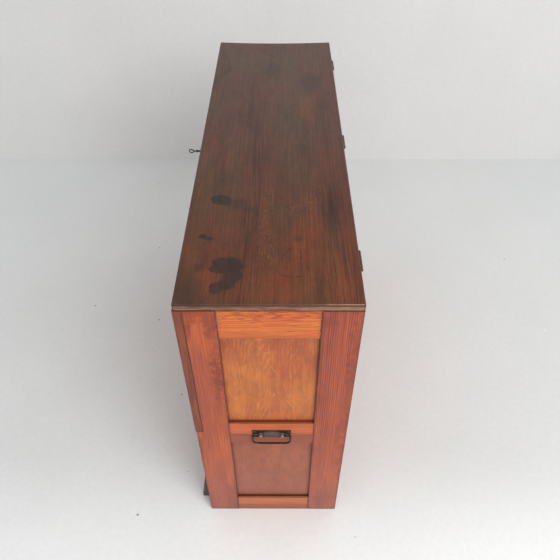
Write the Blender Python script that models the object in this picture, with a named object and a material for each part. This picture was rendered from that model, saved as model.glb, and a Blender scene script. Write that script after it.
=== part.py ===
"""A narrow vertical plan chest in stained pine.

Two framed and panelled ends, a framed back and a framed lower front stand on a
bottom board. A lid is hinged at the back and a flap drops from the upper half
of the front; a hook bolt in the flap, turned by a key, holds flap and lid
together. Large sheets hang inside on two steel rods.

X runs along the chest, the flap faces -Y and Z is up. The origin lies on the
floor in the middle of the carcass. All sizes are in metres.
"""

import math

import bmesh
import bpy
from mathutils import Matrix, Vector

# Overall sizes
LENGTH = 1.240
DEPTH = 0.377
HEIGHT = 0.920

# Clearances between pieces, and how far a cut runs past the wood
FIT = 0.0003
OVERRUN = 0.002

# Frames of the carcass
END_THICKNESS = 0.020
LONG_FRAME_THICKNESS = 0.020
STILE_WIDTH = 0.0835
TOP_RAIL_WIDTH = 0.084
MIDDLE_RAIL_WIDTH = 0.090
MIDDLE_RAIL_HEIGHT = 0.400
BOTTOM_RAIL_WIDTH = 0.078
MUNTIN_WIDTH = 0.070
BOTTOM_THICKNESS = 0.012
ARRIS = 0.001

# Panels and the joints that hold them
PANEL_THICKNESS = 0.006
PANEL_RECESS = 0.009
GROOVE_DEPTH = 0.009
PANEL_PLAY = 0.001
TENON_LENGTH = 0.035
TENON_SHOULDER = 0.012

# Lid
LID_THICKNESS = 0.018
LID_ARRIS = 0.0025

# Flap
FLAP_SEAT = 0.4505
FLAP_GAP = 0.001
FLAP_TOP_GAP = 0.0012
FLAP_BACK_GAP = 0.0005
FLAP_THICKNESS = 0.019
FLAP_PROUD = 0.002
FLAP_STILE_WIDTH = 0.075
FLAP_RAIL_WIDTH = 0.070
FLAP_PANEL_RECESS = 0.006

# Butt hinges, alike on lid and flap
HINGE_COUNT = 3
HINGE_LENGTH = 0.060
HINGE_INSET = 0.145
HINGE_KNUCKLES = 5
KNUCKLE_RADIUS = 0.0035
PIN_RADIUS = 0.0016
PIN_SLACK = 0.00015
LEAF_THICKNESS = 0.002
LEAF_WIDTH = 0.0198
LEAF_SCREWS = 3
LEAF_SCREW_PITCH = 0.020
LEAF_SCREW_OFFSET = 0.0118

# Countersunk screw holes in the ironwork
SCREW_HEAD_RADIUS = 0.0032
SCREW_SHANK_RADIUS = 0.0016
SCREW_HEAD_DEPTH = 0.0014

# Carrying handles; the rise is that of the bail's axis above the middle rail's lower edge
HANDLE_RISE = 0.0445
PLATE_WIDTH = 0.098
PLATE_ABOVE = 0.016
PLATE_BELOW = 0.0148
PLATE_THICKNESS = 0.002
PLATE_EAR_HEIGHT = 0.023
PAD_WIDTH = 0.042
PAD_THICKNESS = 0.0012
PAD_MARGIN = 0.003
LUG_SPREAD = 0.027
LUG_WIDTH = 0.006
LUG_RADIUS = 0.0048
BAIL_STANDOFF = 0.0075
BAIL_WIRE_RADIUS = 0.0024
BAIL_SPREAD = 0.0475
BAIL_DROP = 0.035
BAIL_UPPER_BEND = 0.004
BAIL_LOWER_BEND = 0.012
BAIL_END_PROUD = 0.0025
EAR_SCREW_SPREAD = 0.043
EAR_SCREW_RISE = 0.0085
PAD_SCREW_RISE = 0.0015

# Front feet
FOOT_WIDTH = 0.035
FOOT_INSET = 0.041
FOOT_REACH = 0.029
FOOT_HEIGHT = 0.190
FOOT_NOSE = 0.012
FOOT_TOP_THICKNESS = 0.003

# Hanging rods
ROD_SPREAD = 0.300
ROD_DROP = 0.042
ROD_RADIUS = 0.005
ROD_TIP_GAP = 0.022
ROD_TIP_RISE = 0.014
ROD_BEND = 0.008
ROD_PLATE_WIDTH = 0.024
ROD_PLATE_HEIGHT = 0.056
ROD_PLATE_THICKNESS = 0.003
ROD_SCREW_SPREAD = 0.019

# Lock, its hook bolt and the strike plate in the lid
LOCK_CASE_WIDTH = 0.060
LOCK_CASE_HEIGHT = 0.042
LOCK_CASE_DEPTH = 0.012
LOCK_PLATE = 0.0015
LOCK_BACK_WIDTH = 0.078
LOCK_SCREW_SPREAD = 0.0345
LOCK_SCREW_DROPS = (0.008, 0.034)
HOOK_PIVOT_X = -0.010
HOOK_PIVOT_DROP = 0.0148
HOOK_PIVOT_RADIUS = 0.002
HOOK_HUB_RADIUS = 0.005
HOOK_INNER_RADIUS = 0.0205
HOOK_OUTER_RADIUS = 0.026
HOOK_THICKNESS = 0.003
HOOK_STANDOFF = 0.0033
HOOK_TIP_ANGLE = 28.0
HOOK_TAIL_ANGLE = -47.0
HOOK_SPOKE_ANGLE = 17.0
HOOK_SLACK = 0.001
STRIKE_LENGTH = 0.066
STRIKE_WIDTH = 0.0115
STRIKE_THICKNESS = 0.0015
STRIKE_SCREW_SPREAD = 0.027

# Key and escutcheon
KEY_DROP = 0.028
KEY_TURN = 30.0
KEY_STEM_RADIUS = 0.0024
KEY_COLLAR_RADIUS = 0.0040
KEY_COLLAR_WIDTH = 0.0035
KEY_COLLAR_REACH = 0.0175
KEY_REACH = 0.0412
KEY_BOW_LENGTH = 0.0148
KEY_BOW_WIDTH = 0.0210
KEY_WIRE_RADIUS = 0.0015
KEY_BIT_LENGTH = 0.009
KEY_BIT_WIDTH = 0.003
KEY_BIT_THICKNESS = 0.002
KEY_HOLE_SLACK = 0.0006
ESCUTCHEON_WIDTH = 0.018
ESCUTCHEON_HEIGHT = 0.030
ESCUTCHEON_THICKNESS = 0.0008

# Facets of round pieces
SCREW_SIDES = 8
KNUCKLE_SIDES = 14
WIRE_SIDES = 8
BOW_STEPS = 20
BEND_STEPS = 4
ARC_STEPS = 10

# Levels worked out from the sizes above
LID_UNDERSIDE = HEIGHT - LID_THICKNESS
CARCASS_TOP = LID_UNDERSIDE - FIT
FRONT = -DEPTH / 2
BACK = DEPTH / 2
INNER_END = LENGTH / 2 - END_THICKNESS
HANDLE_HEIGHT = MIDDLE_RAIL_HEIGHT + HANDLE_RISE
FLAP_FACE = FRONT - FLAP_PROUD
FLAP_INNER_FACE = FLAP_FACE + FLAP_THICKNESS
FLAP_BOTTOM = FLAP_SEAT + FLAP_GAP
FLAP_TOP = LID_UNDERSIDE - FLAP_TOP_GAP
LID_AXIS_Y = BACK + KNUCKLE_RADIUS + FIT
LID_AXIS_Z = (LID_UNDERSIDE + CARCASS_TOP) / 2
FLAP_AXIS_Y = FLAP_FACE - KNUCKLE_RADIUS - FIT
FLAP_AXIS_Z = (FLAP_BOTTOM + FLAP_SEAT) / 2
KEY_Z = FLAP_TOP - KEY_DROP
HOOK_Z = FLAP_TOP - HOOK_PIVOT_DROP
HOOK_BACK = FLAP_INNER_FACE - LOCK_PLATE - HOOK_STANDOFF
HOOK_FRONT = HOOK_BACK - HOOK_THICKNESS
HOOK_MIDDLE = (HOOK_BACK + HOOK_FRONT) / 2

# Finishes: colour, roughness, metallic
FINISHES = {
    "lid_stain": ((0.105, 0.048, 0.028), 0.45, 0.0),
    "stile_stain": ((0.36, 0.115, 0.050), 0.42, 0.0),
    "rail_stain": ((0.52, 0.190, 0.055), 0.42, 0.0),
    "panel_ply": ((0.38, 0.165, 0.060), 0.45, 0.0),
    "lower_ply": ((0.27, 0.105, 0.055), 0.45, 0.0),
    "inner_pine": ((0.42, 0.235, 0.110), 0.60, 0.0),
    "foot_black": ((0.022, 0.014, 0.011), 0.50, 0.0),
    "iron": ((0.050, 0.046, 0.044), 0.45, 0.9),
    "steel": ((0.42, 0.41, 0.39), 0.35, 1.0),
}


def finish(name):
    """The material of that name, made when it is first asked for."""
    material = bpy.data.materials.get(name)
    if material:
        return material
    colour, roughness, metallic = FINISHES[name]
    material = bpy.data.materials.new(name)
    material.use_nodes = True
    shader = material.node_tree.nodes["Principled BSDF"]
    shader.inputs["Base Color"].default_value = (*colour, 1.0)
    shader.inputs["Roughness"].default_value = roughness
    shader.inputs["Metallic"].default_value = metallic
    return material


def add_object(name, shape, material=None, pivot=None):
    """Turns a bmesh into an object; one without a material only cuts or joins others."""
    bmesh.ops.recalc_face_normals(shape, faces=shape.faces)
    mesh = bpy.data.meshes.new(name)
    shape.to_mesh(mesh)
    shape.free()
    piece = bpy.data.objects.new(name, mesh)
    bpy.context.scene.collection.objects.link(piece)
    if material:
        mesh.materials.append(finish(material))
    else:
        piece.hide_render = True
        piece.display_type = "WIRE"
    if pivot:
        piece.parent = pivot
        piece.matrix_parent_inverse = Matrix.Translation(pivot.location).inverted()
    return piece


def add_pivot(name, place):
    """An empty on a joint's axis, which carries the pieces that turn about it."""
    empty = bpy.data.objects.new(name, None)
    empty.location = place
    bpy.context.scene.collection.objects.link(empty)
    return empty


def loft(shape, rings, closed=False):
    """Joins rings of equal count into a tube and caps its ends, or closes it on itself."""
    rows = [[shape.verts.new(point) for point in ring] for ring in rings]
    pairs = list(zip(rows, rows[1:]))
    if closed:
        pairs.append((rows[-1], rows[0]))
    for near, far in pairs:
        for i, corner in enumerate(near):
            j = (i + 1) % len(near)
            shape.faces.new((corner, near[j], far[j], far[i]))
    if not closed:
        shape.faces.new(rows[0][::-1])
        shape.faces.new(rows[-1])


def section(grain, station, low, high, chamfer):
    """A rectangle with chamfered corners, square to the grain at one station along it."""
    u, v = [axis for axis in range(3) if axis != grain]
    flat = (
        (low[u] + chamfer, low[v]), (high[u] - chamfer, low[v]),
        (high[u], low[v] + chamfer), (high[u], high[v] - chamfer),
        (high[u] - chamfer, high[v]), (low[u] + chamfer, high[v]),
        (low[u], high[v] - chamfer), (low[u], low[v] + chamfer),
    )
    ring = []
    for across, up in flat:
        point = [station] * 3
        point[u] = across
        point[v] = up
        ring.append(point)
    return ring


def board(name, low, high, grain, material, pivot=None, arris=ARRIS):
    """A plank whose long edges are eased; grain is the axis that it runs along."""
    shape = bmesh.new()
    loft(shape, [section(grain, station, low, high, arris) for station in (low[grain], high[grain])])
    return add_object(name, shape, material, pivot)


def add_block(shape, low, high):
    """A plain box between two corners."""
    size = [top - bottom for bottom, top in zip(low, high)]
    middle = [(top + bottom) / 2 for bottom, top in zip(low, high)]
    place = Matrix.Translation(middle) @ Matrix.Diagonal((*size, 1))
    bmesh.ops.create_cube(shape, size=1, matrix=place)


def blocks(name, corners, material=None, pivot=None):
    """Boxes that stand clear of each other, in one object."""
    shape = bmesh.new()
    for low, high in corners:
        add_block(shape, low, high)
    return add_object(name, shape, material, pivot)


def prism(name, outline, axis, low, high, material=None, pivot=None):
    """An outline in the two other axes, drawn out along one axis."""
    u, v = [other for other in range(3) if other != axis]
    rings = []
    for station in (low, high):
        ring = []
        for across, up in outline:
            point = [station] * 3
            point[u] = across
            point[v] = up
            ring.append(point)
        rings.append(ring)
    shape = bmesh.new()
    loft(shape, rings)
    return add_object(name, shape, material, pivot)


def arc(centre, radius, start, end, steps):
    """Points on a circle from one angle to another, in degrees."""
    points = []
    for i in range(steps + 1):
        angle = math.radians(start + (end - start) * i / steps)
        points.append((centre[0] + radius * math.cos(angle), centre[1] + radius * math.sin(angle)))
    return points


def round_ring(centre, direction, radius, sides, upright=None):
    """A circle of points about a centre, square to a direction."""
    along = Vector(direction).normalized()
    first = Vector(upright) if upright else along.orthogonal().normalized()
    second = along.cross(first)
    ring = []
    for i in range(sides):
        angle = 2 * math.pi * (i + 1 / 2) / sides
        offset = first * math.cos(angle) + second * math.sin(angle)
        ring.append(Vector(centre) + offset * radius)
    return ring


def add_turned(shape, start, direction, profile, sides):
    """A turned solid: profile pairs give the distance along the axis and the radius there."""
    along = Vector(direction).normalized()
    loft(shape, [round_ring(Vector(start) + along * step, along, radius, sides)
                 for step, radius in profile])


def turned(name, start, direction, profile, sides, material=None, pivot=None):
    """One turned solid as an object."""
    shape = bmesh.new()
    add_turned(shape, start, direction, profile, sides)
    return add_object(name, shape, material, pivot)


def filleted(corners, radii, steps=BEND_STEPS):
    """A flat path through corners whose bends are arcs of the given radii."""
    path = [Vector(corners[0])]
    for before, corner, after, radius in zip(corners, corners[1:], corners[2:], radii):
        corner = Vector(corner)
        arm_in = (Vector(before) - corner).normalized()
        arm_out = (Vector(after) - corner).normalized()
        half = arm_in.angle(arm_out) / 2
        centre = corner + (arm_in + arm_out).normalized() * (radius / math.sin(half))
        first = (corner + arm_in * (radius / math.tan(half)) - centre).normalized()
        last = (corner + arm_out * (radius / math.tan(half)) - centre).normalized()
        for i in range(steps + 1):
            path.append(centre + first.slerp(last, i / steps) * radius)
    path.append(Vector(corners[-1]))
    return path


def rod(name, path, radius, normal, sides, closed=False, material=None, pivot=None):
    """Round wire along a flat path; normal is square to the path's plane."""
    rings = []
    for i, point in enumerate(path):
        before = path[i - 1] if i or closed else point
        after = path[(i + 1) % len(path)] if i + 1 < len(path) or closed else point
        rings.append(round_ring(point, after - before, radius, sides, normal))
    shape = bmesh.new()
    loft(shape, rings, closed)
    return add_object(name, shape, material, pivot)


def boolean(piece, other, operation):
    """Adds one Boolean step to a piece."""
    step = piece.modifiers.new(other.name, "BOOLEAN")
    step.operation = operation
    step.object = other


def cut(piece, *cutters):
    """Takes the cutters out of a piece."""
    for cutter in cutters:
        boolean(piece, cutter, "DIFFERENCE")


def fuse(piece, *others):
    """Makes others one solid with a piece."""
    for other in others:
        boolean(piece, other, "UNION")


def screw_holes(name, spots, into, depth):
    """Countersunk holes, bored from the spots through metal of the given depth."""
    shape = bmesh.new()
    profile = (
        (-OVERRUN, SCREW_HEAD_RADIUS),
        (0, SCREW_HEAD_RADIUS),
        (SCREW_HEAD_DEPTH, SCREW_SHANK_RADIUS),
        (depth + OVERRUN, SCREW_SHANK_RADIUS),
    )
    for spot in spots:
        add_turned(shape, spot, into, profile, SCREW_SIDES)
    return add_object(name, shape)


class Frame:
    """A flat frame of stiles, rails and panels: where its outer face lies and which way is in."""

    def __init__(self, name, run, face, inward, thickness, recess, pivot=None):
        self.name = name
        self.run = run
        self.face = face
        self.inward = inward
        self.thickness = thickness
        self.recess = recess
        self.pivot = pivot

    def corners(self, along, depth, height):
        """Lowest and highest corners of a box given by ranges in the frame's own terms."""
        across = sorted(self.face + self.inward * step for step in depth)
        if self.run == "X":
            ranges = (along, across, height)
        else:
            ranges = (across, along, height)
        return [pair[0] for pair in ranges], [pair[1] for pair in ranges]

    def grain(self, upright):
        """The axis that a piece's grain follows."""
        if upright:
            return 2
        return 0 if self.run == "X" else 1

    def panel_depth(self, slack):
        """The layer that panels and tenons lie in."""
        return self.recess - slack, self.recess + PANEL_THICKNESS + slack

    def stile(self, name, along, height, material):
        """An upright at one side of the frame."""
        low, high = self.corners(along, (0, self.thickness), height)
        return board(f"{self.name}_{name}", low, high, self.grain(True), material, self.pivot)

    def tenoned(self, name, along, height, upright, lap, material):
        """A rail or muntin between two others, with a tenon at each end."""
        grain = self.grain(upright)
        if upright:
            height = (height[0] + FIT, height[1] - FIT)
            tenon_along = (along[0] + TENON_SHOULDER, along[1] - TENON_SHOULDER)
            tenon_height = height
        else:
            along = (along[0] + FIT, along[1] - FIT)
            tenon_along = along
            tenon_height = (height[0] + TENON_SHOULDER, height[1] - TENON_SHOULDER)
        low, high = self.corners(along, (0, self.thickness), height)
        inner_low, inner_high = self.corners(tenon_along, self.panel_depth(0), tenon_height)
        reach = lap - 2 * FIT
        stations = (
            (low[grain] - reach, inner_low, inner_high),
            (low[grain], inner_low, inner_high),
            (low[grain], low, high),
            (high[grain], low, high),
            (high[grain], inner_low, inner_high),
            (high[grain] + reach, inner_low, inner_high),
        )
        shape = bmesh.new()
        loft(shape, [section(grain, station, bottom, top, ARRIS) for station, bottom, top in stations])
        return add_object(f"{self.name}_{name}", shape, material, self.pivot)

    def panel(self, name, along, height, material):
        """A plywood panel whose edges lie in the grooves around it."""
        lap = GROOVE_DEPTH - PANEL_PLAY
        low, high = self.corners((along[0] - lap, along[1] + lap), self.panel_depth(0),
                                 (height[0] - lap, height[1] + lap))
        return blocks(f"{self.name}_{name}", [(low, high)], material, self.pivot)

    def groove(self, label, along, height):
        """A cutter in the panels' layer."""
        return blocks(f"{self.name}_{label}_groove", [self.corners(along, self.panel_depth(FIT), height)])

    def mortises(self, label, along, heights):
        """Cutters for the tenons of rails that meet a stile."""
        depth = self.panel_depth(FIT)
        tenons = [(low + TENON_SHOULDER - FIT, high - TENON_SHOULDER + FIT) for low, high in heights]
        return blocks(f"{self.name}_{label}_mortises", [self.corners(along, depth, span) for span in tenons])


def edge_groove(frame, label, span, edge, side, upright):
    """A groove along one edge of a rail or muntin; side says which way the wood lies."""
    band = sorted((edge + side * GROOVE_DEPTH, edge - side * OVERRUN))
    if upright:
        return frame.groove(label, band, span)
    return frame.groove(label, span, band)


def end_frame(name, side):
    """One framed and panelled end; side is 1 for the right end and -1 for the left."""
    frame = Frame(name, "Y", side * LENGTH / 2, -side, END_THICKNESS, PANEL_RECESS)
    front_edge = FRONT + STILE_WIDTH
    back_edge = BACK - STILE_WIDTH
    bottom = (0, BOTTOM_RAIL_WIDTH)
    middle = (MIDDLE_RAIL_HEIGHT, MIDDLE_RAIL_HEIGHT + MIDDLE_RAIL_WIDTH)
    top = (CARCASS_TOP - TOP_RAIL_WIDTH, CARCASS_TOP)
    rail_heights = (bottom, middle, top)

    front_stile = frame.stile("front_stile", (FRONT, front_edge), (0, CARCASS_TOP), "stile_stain")
    back_stile = frame.stile("back_stile", (back_edge, BACK), (0, CARCASS_TOP), "stile_stain")
    panel_span = (TENON_SHOULDER, CARCASS_TOP - TENON_SHOULDER)
    stiles = ((front_stile, "front", front_edge, -1), (back_stile, "back", back_edge, 1))
    for stile, label, edge, wood in stiles:
        deep = sorted((edge + wood * TENON_LENGTH, edge - wood * OVERRUN))
        cut(stile, edge_groove(frame, label, panel_span, edge, wood, True))
        cut(stile, frame.mortises(label, deep, rail_heights))

    rails = []
    for label, height, material in (("bottom_rail", bottom, "rail_stain"),
                                    ("middle_rail", middle, "rail_stain"),
                                    ("top_rail", top, "rail_stain")):
        rails.append(frame.tenoned(label, (front_edge, back_edge), height, False, TENON_LENGTH, material))
    bottom_rail, middle_rail, top_rail = rails
    span = (front_edge - OVERRUN, back_edge + OVERRUN)
    cut(bottom_rail, edge_groove(frame, "bottom_rail", span, bottom[1], -1, False))
    cut(middle_rail, edge_groove(frame, "middle_rail_lower", span, middle[0], 1, False))
    cut(middle_rail, edge_groove(frame, "middle_rail_upper", span, middle[1], -1, False))
    cut(top_rail, edge_groove(frame, "top_rail", span, top[0], 1, False))
    frame.panel("upper_panel", (front_edge, back_edge), (middle[1], top[0]), "panel_ply")
    frame.panel("lower_panel", (front_edge, back_edge), (bottom[1], middle[0]), "lower_ply")
    house_long_frames(name, side, front_stile, back_stile)


def house_long_frames(name, side, front_stile, back_stile):
    """Grooves inside an end's stiles for the back and lower front, and the flap's rebate."""
    depth = sorted((side * (INNER_END - OVERRUN), side * (INNER_END + GROOVE_DEPTH)))
    first = PANEL_RECESS - FIT
    last = PANEL_RECESS + PANEL_THICKNESS + FIT
    low = TENON_SHOULDER - FIT
    cut(back_stile, blocks(f"{name}_back_housing", [(
        (depth[0], BACK - last, low), (depth[1], BACK - first, CARCASS_TOP - low))]))
    cut(front_stile, blocks(f"{name}_front_housing", [(
        (depth[0], FRONT + first, low), (depth[1], FRONT + last, FLAP_SEAT - low))]))
    across = sorted((side * (INNER_END - OVERRUN), side * (LENGTH / 2 + OVERRUN)))
    cut(front_stile, blocks(f"{name}_flap_rebate", [(
        (across[0], FRONT - OVERRUN, FLAP_SEAT),
        (across[1], FLAP_INNER_FACE + FLAP_BACK_GAP, CARCASS_TOP + OVERRUN))]))


def long_frame(frame, along, height, rail_widths, lap, stains):
    """Two rails, a muntin between them and two panels, for a frame along the chest."""
    frame_stain, panel_stain = stains
    bottom = (height[0], height[0] + rail_widths[0])
    top = (height[1] - rail_widths[1], height[1])
    muntin = (-MUNTIN_WIDTH / 2, MUNTIN_WIDTH / 2)
    between = (bottom[1], top[0])
    bottom_rail = frame.tenoned("bottom_rail", along, bottom, False, lap, frame_stain)
    top_rail = frame.tenoned("top_rail", along, top, False, lap, frame_stain)
    centre = frame.tenoned("muntin", muntin, between, True, GROOVE_DEPTH, frame_stain)
    rail_span = (along[0] - OVERRUN, along[1] + OVERRUN)
    muntin_span = (between[0] - OVERRUN, between[1] + OVERRUN)
    cut(bottom_rail, edge_groove(frame, "bottom_rail", rail_span, bottom[1], -1, False))
    cut(top_rail, edge_groove(frame, "top_rail", rail_span, top[0], 1, False))
    cut(centre, edge_groove(frame, "muntin_left", muntin_span, muntin[0], 1, True))
    cut(centre, edge_groove(frame, "muntin_right", muntin_span, muntin[1], -1, True))
    frame.panel("left_panel", (along[0], muntin[0]), between, panel_stain)
    frame.panel("right_panel", (muntin[1], along[1]), between, panel_stain)
    return bottom_rail, top_rail


def back_frame():
    """The framed back; returns the rail that the lid is hinged to."""
    frame = Frame("back", "X", BACK, -1, LONG_FRAME_THICKNESS, PANEL_RECESS)
    widths = (BOTTOM_RAIL_WIDTH, TOP_RAIL_WIDTH)
    stains = ("stile_stain", "panel_ply")
    rails = long_frame(frame, (-INNER_END, INNER_END), (0, CARCASS_TOP), widths, GROOVE_DEPTH, stains)
    return rails[1]


def lower_front():
    """The framed lower front; returns the rail that the flap is hinged to."""
    frame = Frame("lower_front", "X", FRONT, 1, LONG_FRAME_THICKNESS, PANEL_RECESS)
    widths = (BOTTOM_RAIL_WIDTH, TOP_RAIL_WIDTH)
    stains = ("stile_stain", "lower_ply")
    rails = long_frame(frame, (-INNER_END, INNER_END), (0, FLAP_SEAT), widths, GROOVE_DEPTH, stains)
    return rails[1]


def bottom_board():
    """The board that closes the chest's bottom, flush with the floor."""
    half_length = INNER_END - FIT
    half_depth = DEPTH / 2 - LONG_FRAME_THICKNESS - FIT
    board("bottom_board", (-half_length, -half_depth, 0), (half_length, half_depth, BOTTOM_THICKNESS),
          0, "inner_pine")


def flap_frame(pivot):
    """The flap's frame; returns its bottom and top rails."""
    frame = Frame("flap", "X", FLAP_FACE, 1, FLAP_THICKNESS, FLAP_PANEL_RECESS, pivot)
    height = (FLAP_BOTTOM, FLAP_TOP)
    edge = LENGTH / 2 - FLAP_STILE_WIDTH
    rail_heights = ((FLAP_BOTTOM, FLAP_BOTTOM + FLAP_RAIL_WIDTH), (FLAP_TOP - FLAP_RAIL_WIDTH, FLAP_TOP))
    panel_span = (FLAP_BOTTOM + TENON_SHOULDER, FLAP_TOP - TENON_SHOULDER)
    for label, side in (("left", -1), ("right", 1)):
        along = sorted((side * edge, side * LENGTH / 2))
        stile = frame.stile(f"{label}_stile", along, height, "stile_stain")
        deep = sorted((side * (edge + TENON_LENGTH), side * (edge - OVERRUN)))
        cut(stile, edge_groove(frame, f"{label}_stile", panel_span, side * edge, side, True))
        cut(stile, frame.mortises(label, deep, rail_heights))
    widths = (FLAP_RAIL_WIDTH, FLAP_RAIL_WIDTH)
    return long_frame(frame, (-edge, edge), height, widths, TENON_LENGTH, ("rail_stain", "panel_ply"))


def lid_board(pivot):
    """The lid, flush with the carcass all round, with all its edges eased."""
    end = LENGTH / 2
    low = (-end, FRONT, LID_UNDERSIDE)
    high = (end, BACK, HEIGHT)
    inner_low = [corner + LID_ARRIS for corner in low]
    inner_high = [corner - LID_ARRIS for corner in high]
    shape = bmesh.new()
    loft(shape, [
        section(0, -end, inner_low, inner_high, LID_ARRIS),
        section(0, -end + LID_ARRIS, low, high, LID_ARRIS),
        section(0, end - LID_ARRIS, low, high, LID_ARRIS),
        section(0, end, inner_low, inner_high, LID_ARRIS),
    ])
    return add_object("lid_board", shape, "lid_stain", pivot)


class HingeRow:
    """Butt hinges in a row along X, let into two edges that meet at a seam."""

    def __init__(self, name, axis_y, axis_z, into):
        self.name = name
        self.y = axis_y
        self.z = axis_z
        self.into = into
        pitch = (LENGTH - 2 * HINGE_INSET) / (HINGE_COUNT - 1)
        self.centres = [-LENGTH / 2 + HINGE_INSET + pitch * i for i in range(HINGE_COUNT)]

    def outline(self, up):
        """A leaf and its knuckle in profile; up is 1 for the upper leaf."""
        start = math.degrees(math.asin((FIT / 2 + LEAF_THICKNESS) / KNUCKLE_RADIUS))
        end = math.degrees(math.asin(FIT / 2 / KNUCKLE_RADIUS)) + 360
        points = arc((0, 0), KNUCKLE_RADIUS, start, end, KNUCKLE_SIDES)
        points += [(LEAF_WIDTH, FIT / 2), (LEAF_WIDTH, FIT / 2 + LEAF_THICKNESS)]
        return [(self.y + self.into * u, self.z + up * v) for u, v in points]

    def gaps(self, centre, upper):
        """The stretches that the other leaf's knuckles take, as boxes about the axis."""
        clear = KNUCKLE_RADIUS + FIT
        across = sorted((self.y - self.into * (clear + OVERRUN), self.y + self.into * clear))
        step = HINGE_LENGTH / HINGE_KNUCKLES
        start = centre - HINGE_LENGTH / 2
        last = HINGE_KNUCKLES - 1
        boxes = []
        for i in range(0 if upper else 1, HINGE_KNUCKLES, 2):
            low = start + step * i - (FIT / 2 if i else OVERRUN)
            high = start + step * (i + 1) + (FIT / 2 if i < last else OVERRUN)
            boxes.append(((low, across[0], self.z - clear), (high, across[1], self.z + clear)))
        return boxes

    def leaf(self, name, centre, upper, pivot=None):
        """One leaf with its knuckles; the lower one holds the pin, the upper one turns on it."""
        up = 1 if upper else -1
        start = centre - HINGE_LENGTH / 2
        end = centre + HINGE_LENGTH / 2
        piece = prism(name, self.outline(up), 0, start, end, "steel", pivot)
        cut(piece, blocks(f"{name}_gaps", self.gaps(centre, upper)))
        if upper:
            bore = PIN_RADIUS + PIN_SLACK
            profile = ((-OVERRUN, bore), (HINGE_LENGTH + OVERRUN, bore))
            cut(piece, turned(f"{name}_bore", (start, self.y, self.z), (1, 0, 0), profile, KNUCKLE_SIDES))
        else:
            profile = ((KNUCKLE_RADIUS, PIN_RADIUS), (HINGE_LENGTH - KNUCKLE_RADIUS, PIN_RADIUS))
            fuse(piece, turned(f"{name}_pin", (start, self.y, self.z), (1, 0, 0), profile, KNUCKLE_SIDES))
        y = self.y + self.into * LEAF_SCREW_OFFSET
        first = centre - LEAF_SCREW_PITCH * (LEAF_SCREWS - 1) / 2
        head = self.z + up * FIT / 2
        spots = [(first + LEAF_SCREW_PITCH * i, y, head) for i in range(LEAF_SCREWS)]
        cut(piece, screw_holes(f"{name}_screw_holes", spots, (0, 0, up), LEAF_THICKNESS))
        return piece

    def recesses(self, name, upper, surface):
        """Cutters that let the leaves into the wood; surface is the height of its edge."""
        up = 1 if upper else -1
        half = HINGE_LENGTH / 2 + FIT
        across = sorted((self.y, self.y + self.into * (LEAF_WIDTH + FIT)))
        depth = self.z + up * (FIT / 2 + LEAF_THICKNESS + FIT)
        height = sorted((surface - up * OVERRUN, depth))
        return blocks(name, [((centre - half, across[0], height[0]), (centre + half, across[1], height[1]))
                             for centre in self.centres])

    def hang(self, fixed_wood, fixed_surface, moving_wood, moving_surface, pivot):
        """Fits the row between two edges."""
        for place, centre in zip(("left", "middle", "right"), self.centres):
            self.leaf(f"{self.name}_{place}_fixed_leaf", centre, False)
            self.leaf(f"{self.name}_{place}_moving_leaf", centre, True, pivot)
        cut(fixed_wood, self.recesses(f"{self.name}_fixed_recesses", False, fixed_surface))
        cut(moving_wood, self.recesses(f"{self.name}_moving_recesses", True, moving_surface))


def mirrored(points):
    """An outline's second half, as the first half mirrored left to right."""
    return [(-across, up) for across, up in reversed(points)]


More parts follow.
